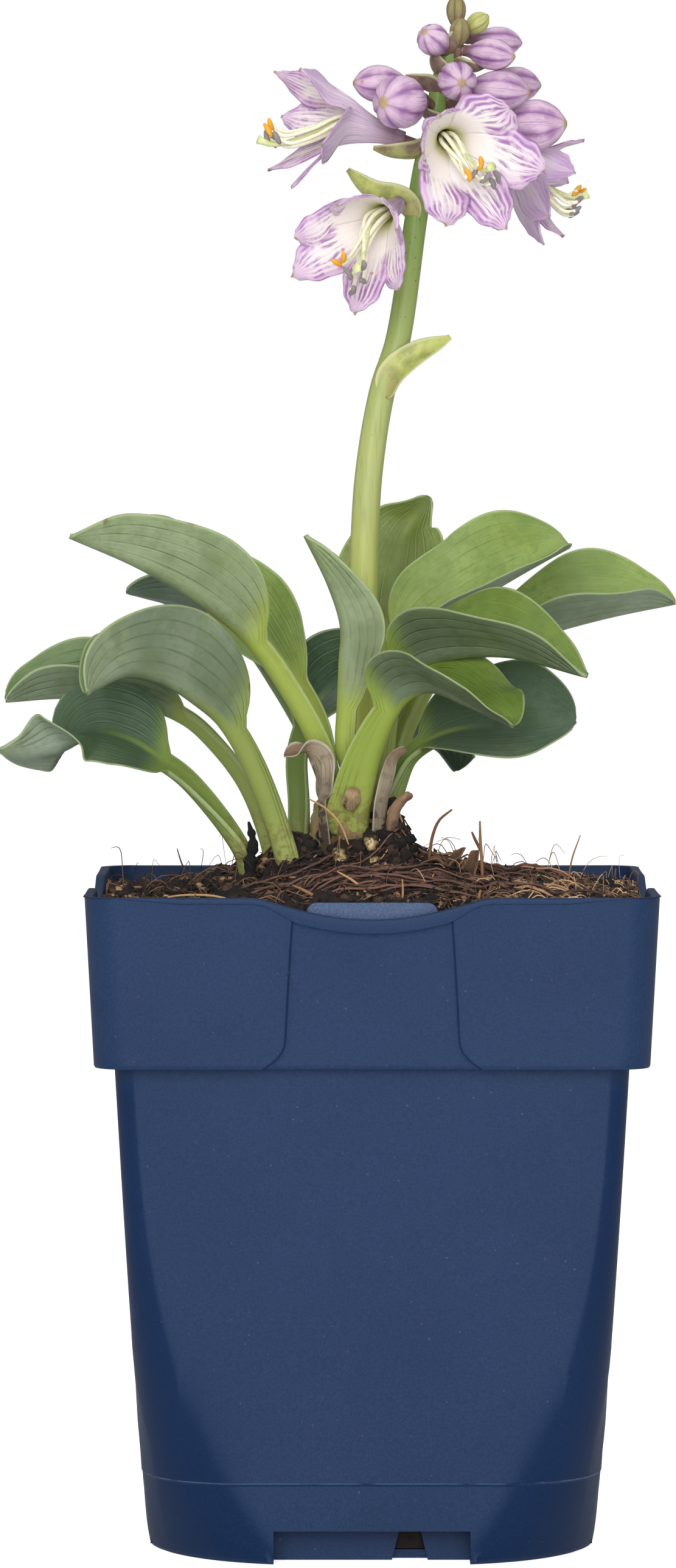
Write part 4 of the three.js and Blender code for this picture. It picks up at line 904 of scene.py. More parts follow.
def make_nubs_mesh():
    """Short stout uneven cones with round ends where new roots have just begun."""
    share = np.linspace(0, 1, 26)
    paths = np.stack([smooth_line(knots, share) for knots in NUBS])
    grid = tubes(paths, np.array(NUB_RADII)[:, None] * np.sqrt(1 - share**4 * 0.97), 26)
    turn = np.linspace(0, 2 * math.pi, 27)[:-1]
    uneven = (1 + 0.1 * np.sin(2 * turn + 9 * share[:, None])
              + 0.07 * np.sin(5 * turn - 14 * share[:, None] + 1))[None, :, :, None]
    middle = paths[:, :, None]
    return closed_form("root_nubs", middle + (grid - middle) * uneven)


def make_nub_finish():
    """Cream root tips, mottled with tan, under black soil that still clings behind each tip."""
    material, tree, shader = new_material("root_nub")
    place = object_place(tree)
    cloud = noise(place, 1.6, 4, 0.65)
    colour = mingle(rise(cloud, 0.42, 0.62), (226, 204, 152), (182, 148, 98))
    depth = axes(place)[1]
    buried = rise(scaled(noise(place, 1.1, 4, 0.7), 0.0075, depth), -0.0178, -0.0146)
    colour = mingle(buried, colour, (36, 26, 22))
    colour = touch(colour, rise(noise(place, 0.7, 4, 0.7), 0.54, 0.6), 0.85, (52, 36, 28))
    finish_with(shader, colour, cloud, 0.0004, 0.8)
    hold(shader, {"Roughness": 0.75})
    return material


crown_finish = make_crown_finish()
crown = new_piece("crown_neck", make_crown_mesh(), crown_finish)
nubs = new_piece("root_nubs", make_nubs_mesh(), make_nub_finish())
for piece in (crown, nubs):
    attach(piece, "root")
    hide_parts("crown")

# Leaves
# Fifteen leaves: a channelled stalk that opens into an egg-shaped blade folded along its
# midrib, with five arching veins in each half and a thin pale edge. Upper sides are green, and
# undersides have a grey waxy bloom. All have grown from the crown.

LEAF_ROWS = 100
HALF_COLUMNS = 20
LEAF_THICKNESS = 0.42
VEINS = 5.0

LEAVES = [
    dict(name="leaf_01", blade_from=0.5, width=26, stalk=(2.8, 2.4), fold=(50, 50, 62, 55),
         shape=(0.5, 0.95), tone="fresh",
         spine=[(-6, -8, 132), (-7.5, -10, 140), (-9.5, -12, 148.5), (-15.5, -15, 160),
                (-22, -18, 169), (-30, -21, 175.5), (-42, -24, 182.5), (-55.5, -25, 188)]),
    dict(name="leaf_02", blade_from=0.48, width=17, stalk=(2.3, 2), fold=(50, 40, 20, 20),
         roll=(-10, -35, -45, -40), shape=(0.6, 1), tone="bright",
         spine=[(-6, -2, 132), (-8, -3.5, 141), (-10, 2, 152), (-13.5, 6, 159), (-18, 9, 165.6),
                (-22, 12, 171.8), (-25.5, 16, 178.5), (-31, 20, 185)]),
    dict(name="leaf_03", blade_from=0.5, width=18, stalk=(2.2, 1.8), fold=(50, 30, 15, 15),
         roll=(0, 35, 50, 35), shape=(0.6, 0.8), tone="shade",
         spine=[(-6, 3, 132), (-8, 5.5, 141), (-13.5, 19, 153), (-21, 25, 164.5),
                (-28, 29.5, 172), (-37, 33, 175.5), (-47, 35, 177)]),
    dict(name="leaf_04", blade_from=0.45, width=27, stalk=(2.6, 2.1), fold=(50, 60, 62, 60),
         roll=(0, 16, 28, 28), shape=(0.5, 0.75), tone="grey",
         spine=[(-15.2, -13.7, 124), (-16.5, -15, 130), (-22, -19, 145.5), (-26.5, -23, 153.5),
                (-31.5, -28, 158), (-39, -34, 162.5), (-45.5, -39, 163), (-52, -42, 159.5)]),
    dict(name="leaf_05", blade_from=0.52, width=20, stalk=(2.1, 1.6), fold=(50, 56, 60, 55),
         roll=(0, -12, -22, -15), shape=(0.65, 0.65), sweep=0.2, tone="grey",
         spine=[(-18, -6, 124), (-18.6, -6, 129.5), (-22.8, -6, 141), (-28.6, -7, 149),
                (-34.6, -9, 154.4), (-43, -12, 157.2), (-56, -14, 158.6), (-68, -15, 157.5)]),
    dict(name="leaf_06", blade_from=0.46, width=21.5, stalk=(2.3, 1.9), fold=(45, 25, 16, 20),
         roll_places=(0, 0.45, 0.66, 0.84, 1), roll=(-20, -55, -50, 55, 60), shape=(0.42, 1),
         tone="dark",
         spine=[(-22.5, -10.5, 124), (-24, -12, 129.5), (-33.5, -15, 142), (-39, -18.5, 146.5),
                (-45, -21, 150.3), (-51.5, -22, 151.7), (-57, -23, 149.4), (-63, -23.5, 148),
                (-68.5, -25, 148.5)]),
    dict(name="leaf_07", blade_from=0.42, width=14, stalk=(2.8, 2.4), fold=(50, 50, 58, 50),
         shape=(0.6, 0.9), heading=190, tone="fresh",
         spine=[(-3.4, -8, 132), (-3, -11, 141.5), (-4.7, -13.5, 148), (-4.5, -15, 156),
                (-4.5, -17, 164), (-4.5, -18, 171), (-7, -19, 178.5), (-12, -20, 188)]),
    dict(name="leaf_08", blade_from=0.5, width=23, stalk=(2.3, 1.8), fold=(50, 35, 25, 50),
         shape=(0.5, 0.85), sweep=0.2, heading=80, tone="pale",
         spine=[(-2.5, 4, 132), (-3, 5.5, 141), (-0.5, 9, 153), (2.4, 12, 164.5), (4, 16, 175),
                (5.2, 20, 182.5), (7.2, 23, 189), (11.2, 22, 195)]),
    dict(name="leaf_09", blade_from=0.48, width=25.4, stalk=(2.5, 2), fold=(50, 45, 45, 40),
         roll=(0, 20, 33, 25), shape=(0.55, 0.6), sweep=0.25, tone="bright",
         spine=[(0.5, 1, 132), (2, 2, 141), (3, 3, 152), (4.5, 4, 160.5), (7, 5, 167),
                (11, 6, 172), (18.5, 8, 176), (29.5, 11, 182), (37.5, 13, 186)]),
    dict(name="leaf_10", blade_from=0.55, width=26, stalk=(2.2, 1.8), fold=(50, 45, 48, 45),
         roll=(0, 10, 22, 15), shape=(0.6, 0.8), tone="bright",
         spine=[(0.5, 7, 132), (3.5, 8, 141), (7, 15, 152), (13, 20, 162), (22.5, 23, 166.5),
                (35.5, 25, 170.5), (46.5, 26, 173), (58.5, 26, 175)]),
    dict(name="leaf_11", blade_from=0.46, width=27, stalk=(2.6, 2.1), fold=(50, 45, 46, 45),
         roll=(0, 5, 10, 5), shape=(0.42, 0.95), sweep=0.3, tone="deep",
         spine=[(-0.6, -6, 132), (0.2, -8.5, 141), (1.6, -11, 151.5), (4, -14, 159.5),
                (8.5, -17, 164.5), (15.5, -21, 166.5), (25.5, -26, 166.5), (39.5, -31, 162.5)]),
    dict(name="leaf_12", blade_from=0.47, width=25, stalk=(7, 3.1), fold=(48, 38, 23, 28),
         roll=(0, 0, -5, -2), shape=(0.42, 0.7), tone="deep",
         spine=[(-2.6, -12, 132), (-1.8, -15.5, 139), (0.3, -18.8, 148.5), (5, -24, 158),
                (10.5, -28, 160.5), (18, -34, 157.5), (26, -38, 153.5)]),
    dict(name="leaf_13", blade_from=0.38, width=25, stalk=(2.3, 2), fold=(45, 30, 20, 20),
         roll=(0, 40, 47, 47), shape=(0.6, 0.56), sweep=0.1, tone="dark",
         spine=[(1, -2, 132), (4, -3.5, 139), (7, -4, 146.5), (13, -6, 150.5), (22, -9, 152.5),
                (31.5, -12, 153), (38, -14, 153.5)]),
    dict(name="leaf_14", blade_from=0.5, width=21, stalk=(2, 1.4), fold=(45, 30, 20, 20),
         roll=(0, 20, 30, 20), shape=(0.5, 0.8), tone="shade",
         spine=[(-2, 9, 132), (-0.5, 12.5, 139), (5, 20, 146.5), (9.2, 26, 148.6),
                (13.2, 30, 147), (16.6, 32, 142.4)]),
    dict(name="leaf_15", blade_from=0.5, width=19, stalk=(2.2, 1.7), fold=(45, 25, 15, 15),
         roll=(0, 30, 45, 45), shape=(0.6, 0.7), tone="shade",
         spine=[(-13.5, 2.5, 124), (-13.5, 4.5, 137), (-14, 7.5, 146), (-12, 12, 153),
                (-7.5, 17, 159), (-1, 22, 162.5), (6, 26, 165.5)]),
]

# Upper side, underside and stalk of each tone of leaf. The tones are partly the leaves' own
# greens and partly painted light and shade: 'shade' and 'dark' are painted shade for leaves that
# lie in shadow, and 'bright' and 'pale' carry painted light.
LEAF_TONES = {
    "fresh": ((118, 144, 74), (134, 148, 110), (160, 176, 68)),
    "grey": ((98, 121, 72), (117, 131, 105), (148, 164, 76)),
    "bright": ((131, 153, 76), (124, 140, 112), (160, 176, 72)),
    "deep": ((106, 130, 52), (104, 118, 92), (152, 172, 64)),
    "dark": ((76, 99, 74), (120, 134, 112), (130, 152, 68)),
    "pale": ((132, 148, 84), (140, 154, 96), (164, 178, 78)),
    "shade": ((66, 90, 68), (82, 102, 84), (126, 148, 70)),
}


def leaf_grid(spine, blade_from, width, stalk, fold, shape, roll=(0, 0, 0, 0), roll_places=None,
              sweep=0.35, keel=1.8, heading=None, thickness=LEAF_THICKNESS, rows=LEAF_ROWS,
              half_columns=HALF_COLUMNS, ripple=0.0, phase=0.0):
    """A leaf as closed rings along its spine. At the share u of the spine, the half-width is the
    root of blade² + stalk² + 0.5², where the blade is width/2·x^rise·(1 − x)^fall, scaled to 1 at
    its widest, and x is the share of the blade. Each half leaves the midrib nearly level and
    bends up to the fold's angle: its place is the sum of cos and sin of that angle along the
    half. The section is turned about the spine by the roll, and its edges are swept forward by
    sweep·blade·|v|^1.5, where v is the share from the midrib to the edge. The upper face lies
    half the thickness above this sheet, and the lower face as far below it, plus the keel keel·(1
    − 0.75x)·exp(−(reach/1.8)²) under the midrib. The blade is grooved by a cosine across its
    veins, and its edges wave by ripple·|v|³ times a sine along it, begun at the phase."""
    u = np.linspace(0, 1, rows)
    line = smooth_line(spine, u)
    along = np.gradient(line, axis=0)
    along /= np.linalg.norm(along, axis=1, keepdims=True)
    if heading is None:
        run = np.array([line[-1, 0] - line[0, 0], line[-1, 1] - line[0, 1]])
        run /= np.linalg.norm(run)
    else:
        run = np.array([math.cos(math.radians(heading)), math.sin(math.radians(heading))])
    side = np.array([-run[1], run[0], 0.0])
    level = side - along * (along @ side)[:, None]
    level /= np.linalg.norm(level, axis=1, keepdims=True)
    upright = np.cross(along, level)
    places = [0, blade_from, (1 + blade_from) / 2, 1]
    turn = np.radians(between(u, roll_places or places, roll))[:, None]
    across = level * np.cos(turn) + upright * np.sin(turn)
    above = upright * np.cos(turn) - level * np.sin(turn)
    angle = np.radians(between(u, places, fold))[:, None]

    rise_power, fall_power = shape
    x = np.clip((u - blade_from) / (1 - blade_from), 0, 1)
    both = rise_power + fall_power
    peak = (rise_power / both) ** rise_power * (fall_power / both) ** fall_power
    blade = width / 2 * x**rise_power * (1 - x) ** fall_power / peak
    channel = np.where(u < blade_from, stalk[0] + (stalk[1] - stalk[0]) * u / blade_from,
                       stalk[1] * (1 - x))
    half = np.sqrt(blade**2 + channel**2 + 0.25)[:, None]

    share = np.linspace(0, 1, half_columns + 1)[None]
    reach = share * half
    bend = angle * (1 - 0.8 * np.exp(-((reach / 1.1) ** 2)))
    steps = np.diff(reach, axis=1)
    middle = (bend[:, 1:] + bend[:, :-1]) / 2
    nought = 0 * half
    out = np.concatenate([nought, np.cumsum(np.cos(middle) * steps, 1)], 1)
    up = np.concatenate([nought, np.cumsum(np.sin(middle) * steps, 1)], 1)
    open_part = (np.clip(half / 8, 0, 1) * np.clip(x / 0.15, 0, 1)[:, None]
                 * np.clip((1 - x) / 0.2, 0, 1)[:, None])
    up = up + 0.05 * open_part * np.cos(2 * math.pi * share * VEINS) * np.clip(share * 6, 0, 1)
    wave = ripple * open_part * share**3
    left = up + wave * np.sin(9.5 * x + phase)[:, None]
    right = up + wave * np.sin(10.5 * x + phase + 2.0)[:, None]

    v = np.concatenate([share[:, ::-1], -share[:, 1:]], 1)
    out = np.concatenate([out[:, ::-1], -out[:, 1:]], 1)[..., None]
    up = np.concatenate([left[:, ::-1], right[:, 1:]], 1)[..., None]
    ahead = (sweep * blade[:, None] * np.abs(v) ** 1.5)[..., None]
    sheet = line[:, None] + across[:, None] * out + above[:, None] * up + along[:, None] * ahead
    normal = np.cross(np.gradient(sheet, axis=1), np.gradient(sheet, axis=0))
    normal /= np.linalg.norm(normal, axis=2, keepdims=True) + 1e-9
    distance = np.abs(v) * half
    thin = thickness / 2 * (1 - 0.35 * np.abs(v) ** 4)[..., None]
    ridge = (keel * (1 - 0.75 * x)[:, None] * np.exp(-((distance / 1.8) ** 2)))[..., None]
    upper = sheet + normal * thin
    under = sheet - normal * (thin + ridge)
    pace = steps[:, -1:, None] + 1e-6
    first = sheet[:, :1] + (sheet[:, :1] - sheet[:, 1:2]) / pace * thickness * 0.4
    last = sheet[:, -1:] + (sheet[:, -1:] - sheet[:, -2:-1]) / pace * thickness * 0.4
    grid = np.concatenate([first, upper, last, under[:, ::-1]], 1)

    v = v + 0 * half
    flip = v[:, ::-1]
    ring_v = np.concatenate([v[:, :1], v, v[:, -1:], flip], 1)
    ring_side = np.concatenate([nought + 0.5, 1 + 0 * v, nought + 0.5, 0 * v], 1)
    columns = np.ones(ring_v.shape)
    place = np.stack([u[:, None] * columns, ring_v, ring_side], -1)
    span = np.stack([np.abs(ring_v) * half, half * columns, x[:, None] * columns], -1)
    return grid, place, span


def own(tree, layer):
    """A vector that the mesh itself holds at each point."""
    return node(tree, "Attribute", attribute_name=layer).outputs["Vector"]


def streaks(along, across, scale, detail, roughness, third=0.0):
    """Noise that follows the surface: its places are shares along and across it, stretched."""
    tree = along.id_data
    flow = node(tree, "CombineXYZ", {0: along, 1: across, 2: third}).outputs[0]
    values = {"Vector": flow, "Scale": scale, "Detail": detail, "Roughness": roughness}
    return node(tree, "TexNoise", values).outputs["Fac"]


def make_leaf_skin_group():
    """The skin of a leaf. It has the upper and lower colours with soft blotches where the bloom is
    rubbed, thin veins at even shares of each half, a yellow-green stalk that runs into the
    midrib, a stained foot, a pale edge and a few brown spots."""
    inputs = {"Upper": ("Color", (0.2, 0.3, 0.1, 1)), "Under": ("Color", (0.25, 0.35, 0.2, 1)),
              "Stalk": ("Color", (0.4, 0.5, 0.1, 1)), "Offset": ("Float", 0.0)}
    outputs = {"Color": "Color", "Roughness": "Float", "Height": "Float"}
    tree, given, result = new_group("leaf_skin", inputs, outputs)
    place = axes(own(tree, "place"))
    reach, half, blade = axes(own(tree, "span"))
    solid = object_place(tree)
    side = rise(place[2], 0.3, 0.7)
    share = calc("ABSOLUTE", place[1])

    cell = calc("FRACT", scaled(share, VEINS, 0.5))
    off = times(calc("ABSOLUTE", calc("SUBTRACT", cell, 0.5)), calc("DIVIDE", half, VEINS))
    vein = fall(off, 0.03, 0.24)
    vein = times(vein, rise(reach, 0.8, 1.8))
    vein = times(vein, scaled(rise(noise(solid, 7, 2), 0.4, 0.6), 0.7, 0.3))
    midrib = fall(reach, 0.2, scaled(blade, -1.0, 1.3))
    margin = fall(calc("SUBTRACT", half, reach), 0.05, 0.3)
    stalk = calc("MAXIMUM", fall(blade, 0.0, 0.16), times(midrib, fall(blade, 0.04, 0.5)))

    cloud = noise(solid, 13, 3, 0.55)
    fleck = noise(solid, 1.1, 4, 0.6)
    strand = streaks(times(place[0], 14.0), times(place[1], 26.0), 1.6, 3.0, 0.5, given["Offset"])

    colour = mingle(side, given["Under"], given["Upper"])
    darker = tinted(colour, (0.66, 0.72, 0.6))
    lighter = tinted(colour, (1.18, 1.16, 1.22))
    colour = touch(colour, rise(cloud, 0.48, 0.66), 0.7, darker)
    colour = touch(colour, fall(cloud, 0.34, 0.5), 0.75, lighter)
    golden = tinted(colour, (1.2, 1.1, 0.62))
    sunned = times(rise(noise(solid, 9, 3, 0.6), 0.48, 0.68), scaled(side, 0.3, 0.3))
    colour = mingle(sunned, colour, golden)
    patch = noise(solid, 4.5, 4, 0.6)
    colour = touch(colour, rise(patch, 0.5, 0.62), 0.5, darker)
    colour = touch(colour, rise(strand, 0.48, 0.7), 0.3, darker)
    colour = touch(colour, rise(fleck, 0.48, 0.7), 0.4, darker)
    deepest = tinted(colour, (0.5, 0.58, 0.46))
    vein_tint = mingle(side, deepest, lighter)
    colour = mingle(times(vein, scaled(strand, 0.6, 0.16)), colour, vein_tint)
    colour = touch(colour, stalk, 0.85, given["Stalk"])
    stripe = times(times(vein, fall(blade, 0.0, 0.1)), 0.14)
    colour = mingle(stripe, colour, (108, 132, 66))
    colour = touch(colour, margin, 0.5, (176, 190, 140))
    colour = touch(colour, fall(place[0], 0.06, 0.24), 0.5, (186, 192, 112))
    stain = times(fall(place[0], 0.08, 0.26), rise(calc("ADD", fleck, patch), 0.92, 1.12))
    colour = touch(colour, stain, 0.6, (124, 104, 64))
    colour = touch(colour, specks(solid, 5.5, 0.08), 0.7, (112, 84, 52))

    height = scaled(fleck, 0.25, times(strand, 0.5))
    groove = times(vein, -0.8)
    tree.links.new(colour, result["Color"])
    tree.links.new(scaled(cloud, 0.25, 0.4), result["Roughness"])
    tree.links.new(calc("ADD", height, groove), result["Height"])
    return tree


leaf_skin = make_leaf_skin_group()


def make_leaf_finish(name, tone, offset):
    """Leaf skin in one tone, slightly translucent, with its veins as shallow grooves."""
    material, tree, shader = new_material(name)
    upper, under, stalk = (paint(*colour) for colour in LEAF_TONES[tone])
    values = {"Upper": upper, "Under": under, "Stalk": stalk, "Offset": offset}
    skin = node(tree, "Group", values, node_tree=leaf_skin).outputs
    finish_with(shader, skin["Color"], skin["Height"], 0.00022, 0.7, skin["Roughness"])
    hold(shader, {"Subsurface Weight": 0.12, "Subsurface Radius": (0.001, 0.0016, 0.0004),
                  "Subsurface Scale": 1.0})
    return material


def formed_piece(name, grid, layers, material):
    """A piece whose mesh is these closed forms."""
    return new_piece(name, closed_form(name, grid, layers), material)


for number, form in enumerate(LEAVES):
    form = dict(form)
    name, tone = form.pop("name"), form.pop("tone")
    grid, place, span = leaf_grid(**form, ripple=0.7, phase=number * 1.7)
    skin = make_leaf_finish(name + "_skin", tone, number * 3.7)
    leaf = formed_piece(name + "_grown", grid[None], {"place": place, "span": span}, skin)
    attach(leaf, "root")
    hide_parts(name)

# Dry sheaths and the stump
# Papery remains of old leaf bases round the neck of the crown, one each side, and the
# broken stump of an old stalk. They have dried to a grey tan and curl at their tips.

SHEATHS = [
    dict(name="dry_sheath_left", blade_from=0.5, width=4.8, stalk=(1.5, 0.5),
         fold=(44, 46, 26, 50), shape=(0.32, 0.3), heading=243, ripple=2.2,
         spine=[(-8.8, -13.5, 125), (-8.9, -15.4, 132), (-9.3, -16.2, 138), (-9.0, -16.9, 142.6),
                (-9.6, -16.9, 146.4), (-12, -16.2, 147.7), (-16.2, -15.6, 147)]),
    dict(name="dry_sheath_right", blade_from=0.01, width=3.0, stalk=(1.2, 0.4),
         fold=(46, 46, 34, 60), shape=(0.2, 0.4), heading=292, ripple=2.2,
         spine=[(1.7, -14.5, 125), (1.9, -16.4, 132), (1.9, -17.2, 138), (2.6, -17.4, 141.4),
                (3.3, -17.4, 144), (4.2, -17, 146.8), (6.4, -16.4, 148.4)]),
]
STUMP = dict(blade_from=0.84, width=2.0, stalk=(1.35, 0.6), fold=(44, 36, 40, 50),
             shape=(0.5, 0.3), keel=0.9,
             spine=[(3.2, -14, 127), (3.6, -15.8, 132.6), (3.9, -16.4, 136.4),
                    (4.8, -16.6, 138.3), (5.9, -16.5, 139.2), (7.3, -16.2, 139.6)])


def flesh(shader, roughness, weight, radius):
    """Lets a little light through the surface: how much, and how far for red, green and blue."""
    hold(shader, {"Roughness": roughness, "Subsurface Weight": weight, "Subsurface Radius": radius})


def make_papery_finish(name, pale, dark, edge):
    """Dry papery skin: long fibres from pale to dark, dirty at the foot and browner towards the
    tip, with a pale edge."""
    material, tree, shader = new_material(name)
    u, v, _ = axes(own(tree, "place"))
    fibre = streaks(times(u, 2.5), times(v, 16.0), 1.5, 4.0, 0.7)
    blotch = noise(object_place(tree), 2.0, 3)
    colour = mingle(rise(fibre, 0.38, 0.68), pale, dark)
    colour = touch(colour, rise(blotch, 0.5, 0.7), 0.5, (92, 66, 46))
    colour = touch(colour, rise(u, 0.7, 1.0), 0.7, (128, 94, 68))
    dirt = times(fall(u, 0.4, 0.72), scaled(rise(blotch, 0.4, 0.56), 0.55, 0.4))
    colour = mingle(dirt, colour, (70, 52, 38))
    colour = touch(colour, rise(calc("ABSOLUTE", v), 0.78, 0.98), 0.6, edge)
    finish_with(shader, colour, fibre, 0.0002, 0.8)
    flesh(shader, 0.7, 0.1, (0.001, 0.0008, 0.0005))
    return material


papery = make_papery_finish("dry_sheath", (178, 166, 142), (116, 98, 78), (206, 196, 178))
for form in SHEATHS:
    form = dict(form)
    name = form.pop("name")
    grid, place, span = leaf_grid(**form, sweep=0, keel=0, thickness=0.3, rows=70, half_columns=10,
                                  phase=len(name))
    sheath = formed_piece(name + "_dried", grid[None], {"place": place, "span": span}, papery)
    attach(sheath, "root")
    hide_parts(name)

# Curled brown scraps of dead leaf beside the crown, and the papery scar of an old leaf on it.
LITTER = [
    dict(width=3.4, heading=20,
         spine=[(14.2, -13, 123.6), (15.0, -14, 126.4), (16.4, -14.5, 128.2), (17.4, -14, 129.8)]),
    dict(width=2.8, heading=60,
         spine=[(17.0, -16, 123), (18.2, -17, 125.4), (19.0, -17, 127.4), (19.4, -16, 129.4)]),
    dict(width=3, heading=-20,
         spine=[(15.2, -15, 124.4), (17.0, -15, 126.2), (18.8, -15, 126.6), (20.4, -15, 125.6)]),
    dict(width=2.6, heading=-20,
         spine=[(9.4, -16, 125.4), (10.6, -17.4, 127.2), (12.2, -18, 127.6), (13.6, -18, 126.4)]),
]
SCAR = [
    dict(width=3.4, heading=-88,
         spine=[(-4.1, -18.3, 137), (-3.8, -18.9, 138.4), (-3.5, -19.1, 139.8),
                (-3.3, -18.8, 141.2)]),
]
scar_finish = make_papery_finish("leaf_scar", (204, 178, 132), (128, 98, 66), (182, 158, 112))
litter_finish = make_papery_finish("leaf_litter", (112, 82, 60), (66, 46, 36), (138, 106, 80))
for name, scraps, finish in (("leaf_litter", LITTER, litter_finish),
                             ("leaf_scar", SCAR, scar_finish)):
    shared = dict(blade_from=0.01, stalk=(0.6, 0.3), fold=(20, 35, 50, 60), shape=(0.3, 0.45),
                  sweep=0.2, keel=0, thickness=0.35, rows=40, half_columns=10, ripple=1.5)
    forms = [leaf_grid(**scrap, **shared, phase=3.0 * k + 1) for k, scrap in enumerate(scraps)]
    grids, places, spans = (np.stack(column) for column in zip(*forms))
    piece = formed_piece(name, grids, {"place": places, "span": spans}, finish)
    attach(piece, "root")
    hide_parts("soil" if scraps is LITTER else "crown")

grid, place, span = leaf_grid(**STUMP, sweep=0.3, thickness=0.8, rows=50, half_columns=8,
                              ripple=1.2)
stump_finish = make_papery_finish("old_stump", (178, 146, 116), (104, 76, 56), (140, 108, 82))
stump = formed_piece("stalk_stump", grid[None], {"place": place, "span": span}, stump_finish)
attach(stump, "root")
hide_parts("old_stalk_stump")

# The flowering stem
# One round fleshy stem from the crown, pale yellow-green low down and darker with purple
# specks above, leaning to the right at the top. Each flower sits on a short purple-brown
# flower stalk over a small boat-shaped bract.

STEM_LINE = [(-2.5, -2.5, 132), (-2.3, -2.5, 141), (-2, -2, 162.5), (-1.5, -2, 178.5),
             (-0.5, -2, 199), (2.1, -2, 215), (4.9, -2, 224), (8.3, -2, 246.5), (10.0, -2, 257),
             (11.6, -2, 263), (12.6, -2, 269.5), (14.5, -2, 277.5), (15.5, -2, 281)]
STEM_FOOT_RADIUS = 2.7
STEM_TOP_RADIUS = 1.95
FLOWER_STALK = 0.95
TIP_STALK = 0.75

BLOOMS = [
    dict(name="bloom_1", start=(5.9, -4.5, 261.6), way=(-0.94, -0.2, 0.27), throat=11.5,
         mouth=4.4, seed=1,
         lobes=[(-18.1, -4, 274, 3.6), (-13.2, -13, 274.4, 3.9), (-9.2, -16.5, 260.2, 5.8),
                (-16.9, 0.5, 266.1, 4.2), (-19.1, -5, 256.2, 3.6), (-14.9, -12, 252.2, 3.3)],
         ends=[(-18.7, -9, 264.1), (-19.2, -11, 263), (-17.5, -12, 261.6), (-18, -7, 261.3),
               (-18.5, -5, 262.4), (-19.5, -8, 261.8), (-21.1, -9, 261.4)]),
    dict(name="bloom_2", start=(5.1, -5.5, 249.5), way=(-0.42, -0.85, -0.32), throat=12.5,
         mouth=5.4, seed=2,
         lobes=[(-6.5, -21.9, 248.9, 4), (-13.8, -18.3, 242.7, 4.4), (-14.9, -17.5, 235.7, 4.8),
                (-3.1, -22, 229, 4.6), (5.3, -24.1, 233, 3.8), (4.2, -24.8, 244, 4.2)],
         ends=[(-5.5, -25.8, 239), (-6.6, -24.2, 237.9), (-4.6, -25.1, 235.9),
               (-1.8, -24.2, 234.7), (-3.8, -23.8, 233.1), (-1.8, -28.2, 237.5),
               (-2.8, -29.2, 236.9)]),
    dict(name="bloom_3", start=(13.0, -4.5, 262.8), way=(0.16, -0.93, -0.22), throat=12.5,
         mouth=5.8, seed=3,
         lobes=[(12.8, -22.9, 264.8, 4), (25.8, -20.5, 266.8, 6.2), (31.5, -18.6, 255.1, 6),
                (25.1, -18.4, 244.4, 5), (13.7, -21.9, 245.3, 5), (9.1, -25.4, 258, 4.6)],
         ends=[(19.6, -26.8, 256.1), (17.4, -26.5, 253.9), (18.3, -24.2, 254.4),
               (22.7, -23.9, 253.7), (21.8, -25.3, 252.5), (20.6, -27.1, 253.5),
               (22, -29.2, 255.5)]),
    dict(name="bloom_4", start=(17.7, 3.2, 262.3), way=(0.87, 0.14, -0.48), throat=12, mouth=4.6,
         seed=4,
         lobes=[(40.3, 9, 262.3, 2.6), (38.1, -1, 255.4, 4), (33.3, -6, 247.1, 4.4),
                (32.5, 1, 242.5, 3.8), (36.3, 10, 243.9, 4), (37.5, 16, 254.4, 4.2)],
         ends=[(38.8, 5, 252.6), (39.6, 7, 252), (38.4, 3, 248.7), (37.8, 8, 249.5),
               (38.8, 1, 250.3), (38.2, 6, 248), (40.9, 5, 251.9)]),
]
BUDS = [
    dict(name="bud_1", start=(13.8, -3.6, 278), way=(-0.5, -0.75, 0.42), length=8, radius=2.9),
    dict(name="bud_2", start=(17.2, -3.6, 278.2), way=(1, -0.45, -0.16), length=10.5, radius=2.9),
    dict(name="bud_3", start=(18, 2.5, 280.8), way=(1, 0.35, -0.06), length=11, radius=2.7),
    dict(name="bud_4", start=(14.6, -6.3, 273), way=(0.2, -0.95, -0.15), length=10.5, radius=3.5),
    dict(name="bud_5", start=(16.8, -4.5, 271.2), way=(1, -0.2, -0.08), length=13, radius=3.7),
    dict(name="bud_6", start=(20.5, 4.5, 272.6), way=(1, 0.3, -0.02), length=12, radius=3.3),
    dict(name="bud_7", start=(7.8, -3, 272), way=(-1, -0.25, 0.0), length=11.5, radius=3.4),
    dict(name="bud_8", start=(9.6, -6, 268.6), way=(-0.58, -0.8, -0.06), length=13, radius=4.9),
    dict(name="bud_9", start=(22, 0.8, 264.2), way=(0.96, -0.25, 0.03), length=15, radius=4.7),
]
TIP_BUDS = [
    dict(name="tip_bud_1", start=(16.2, -4, 278.4), way=(0.1, -0.4, 1), length=6.2, radius=1.9),
    dict(name="tip_bud_2", start=(15.8, -2, 281.8), way=(0.02, 0.1, 1), length=7, radius=1.8),
    dict(name="tip_bud_3", start=(17.2, -1.4, 281.6), way=(0.85, 0.1, 0.6), length=5.8,
         radius=1.9),
]
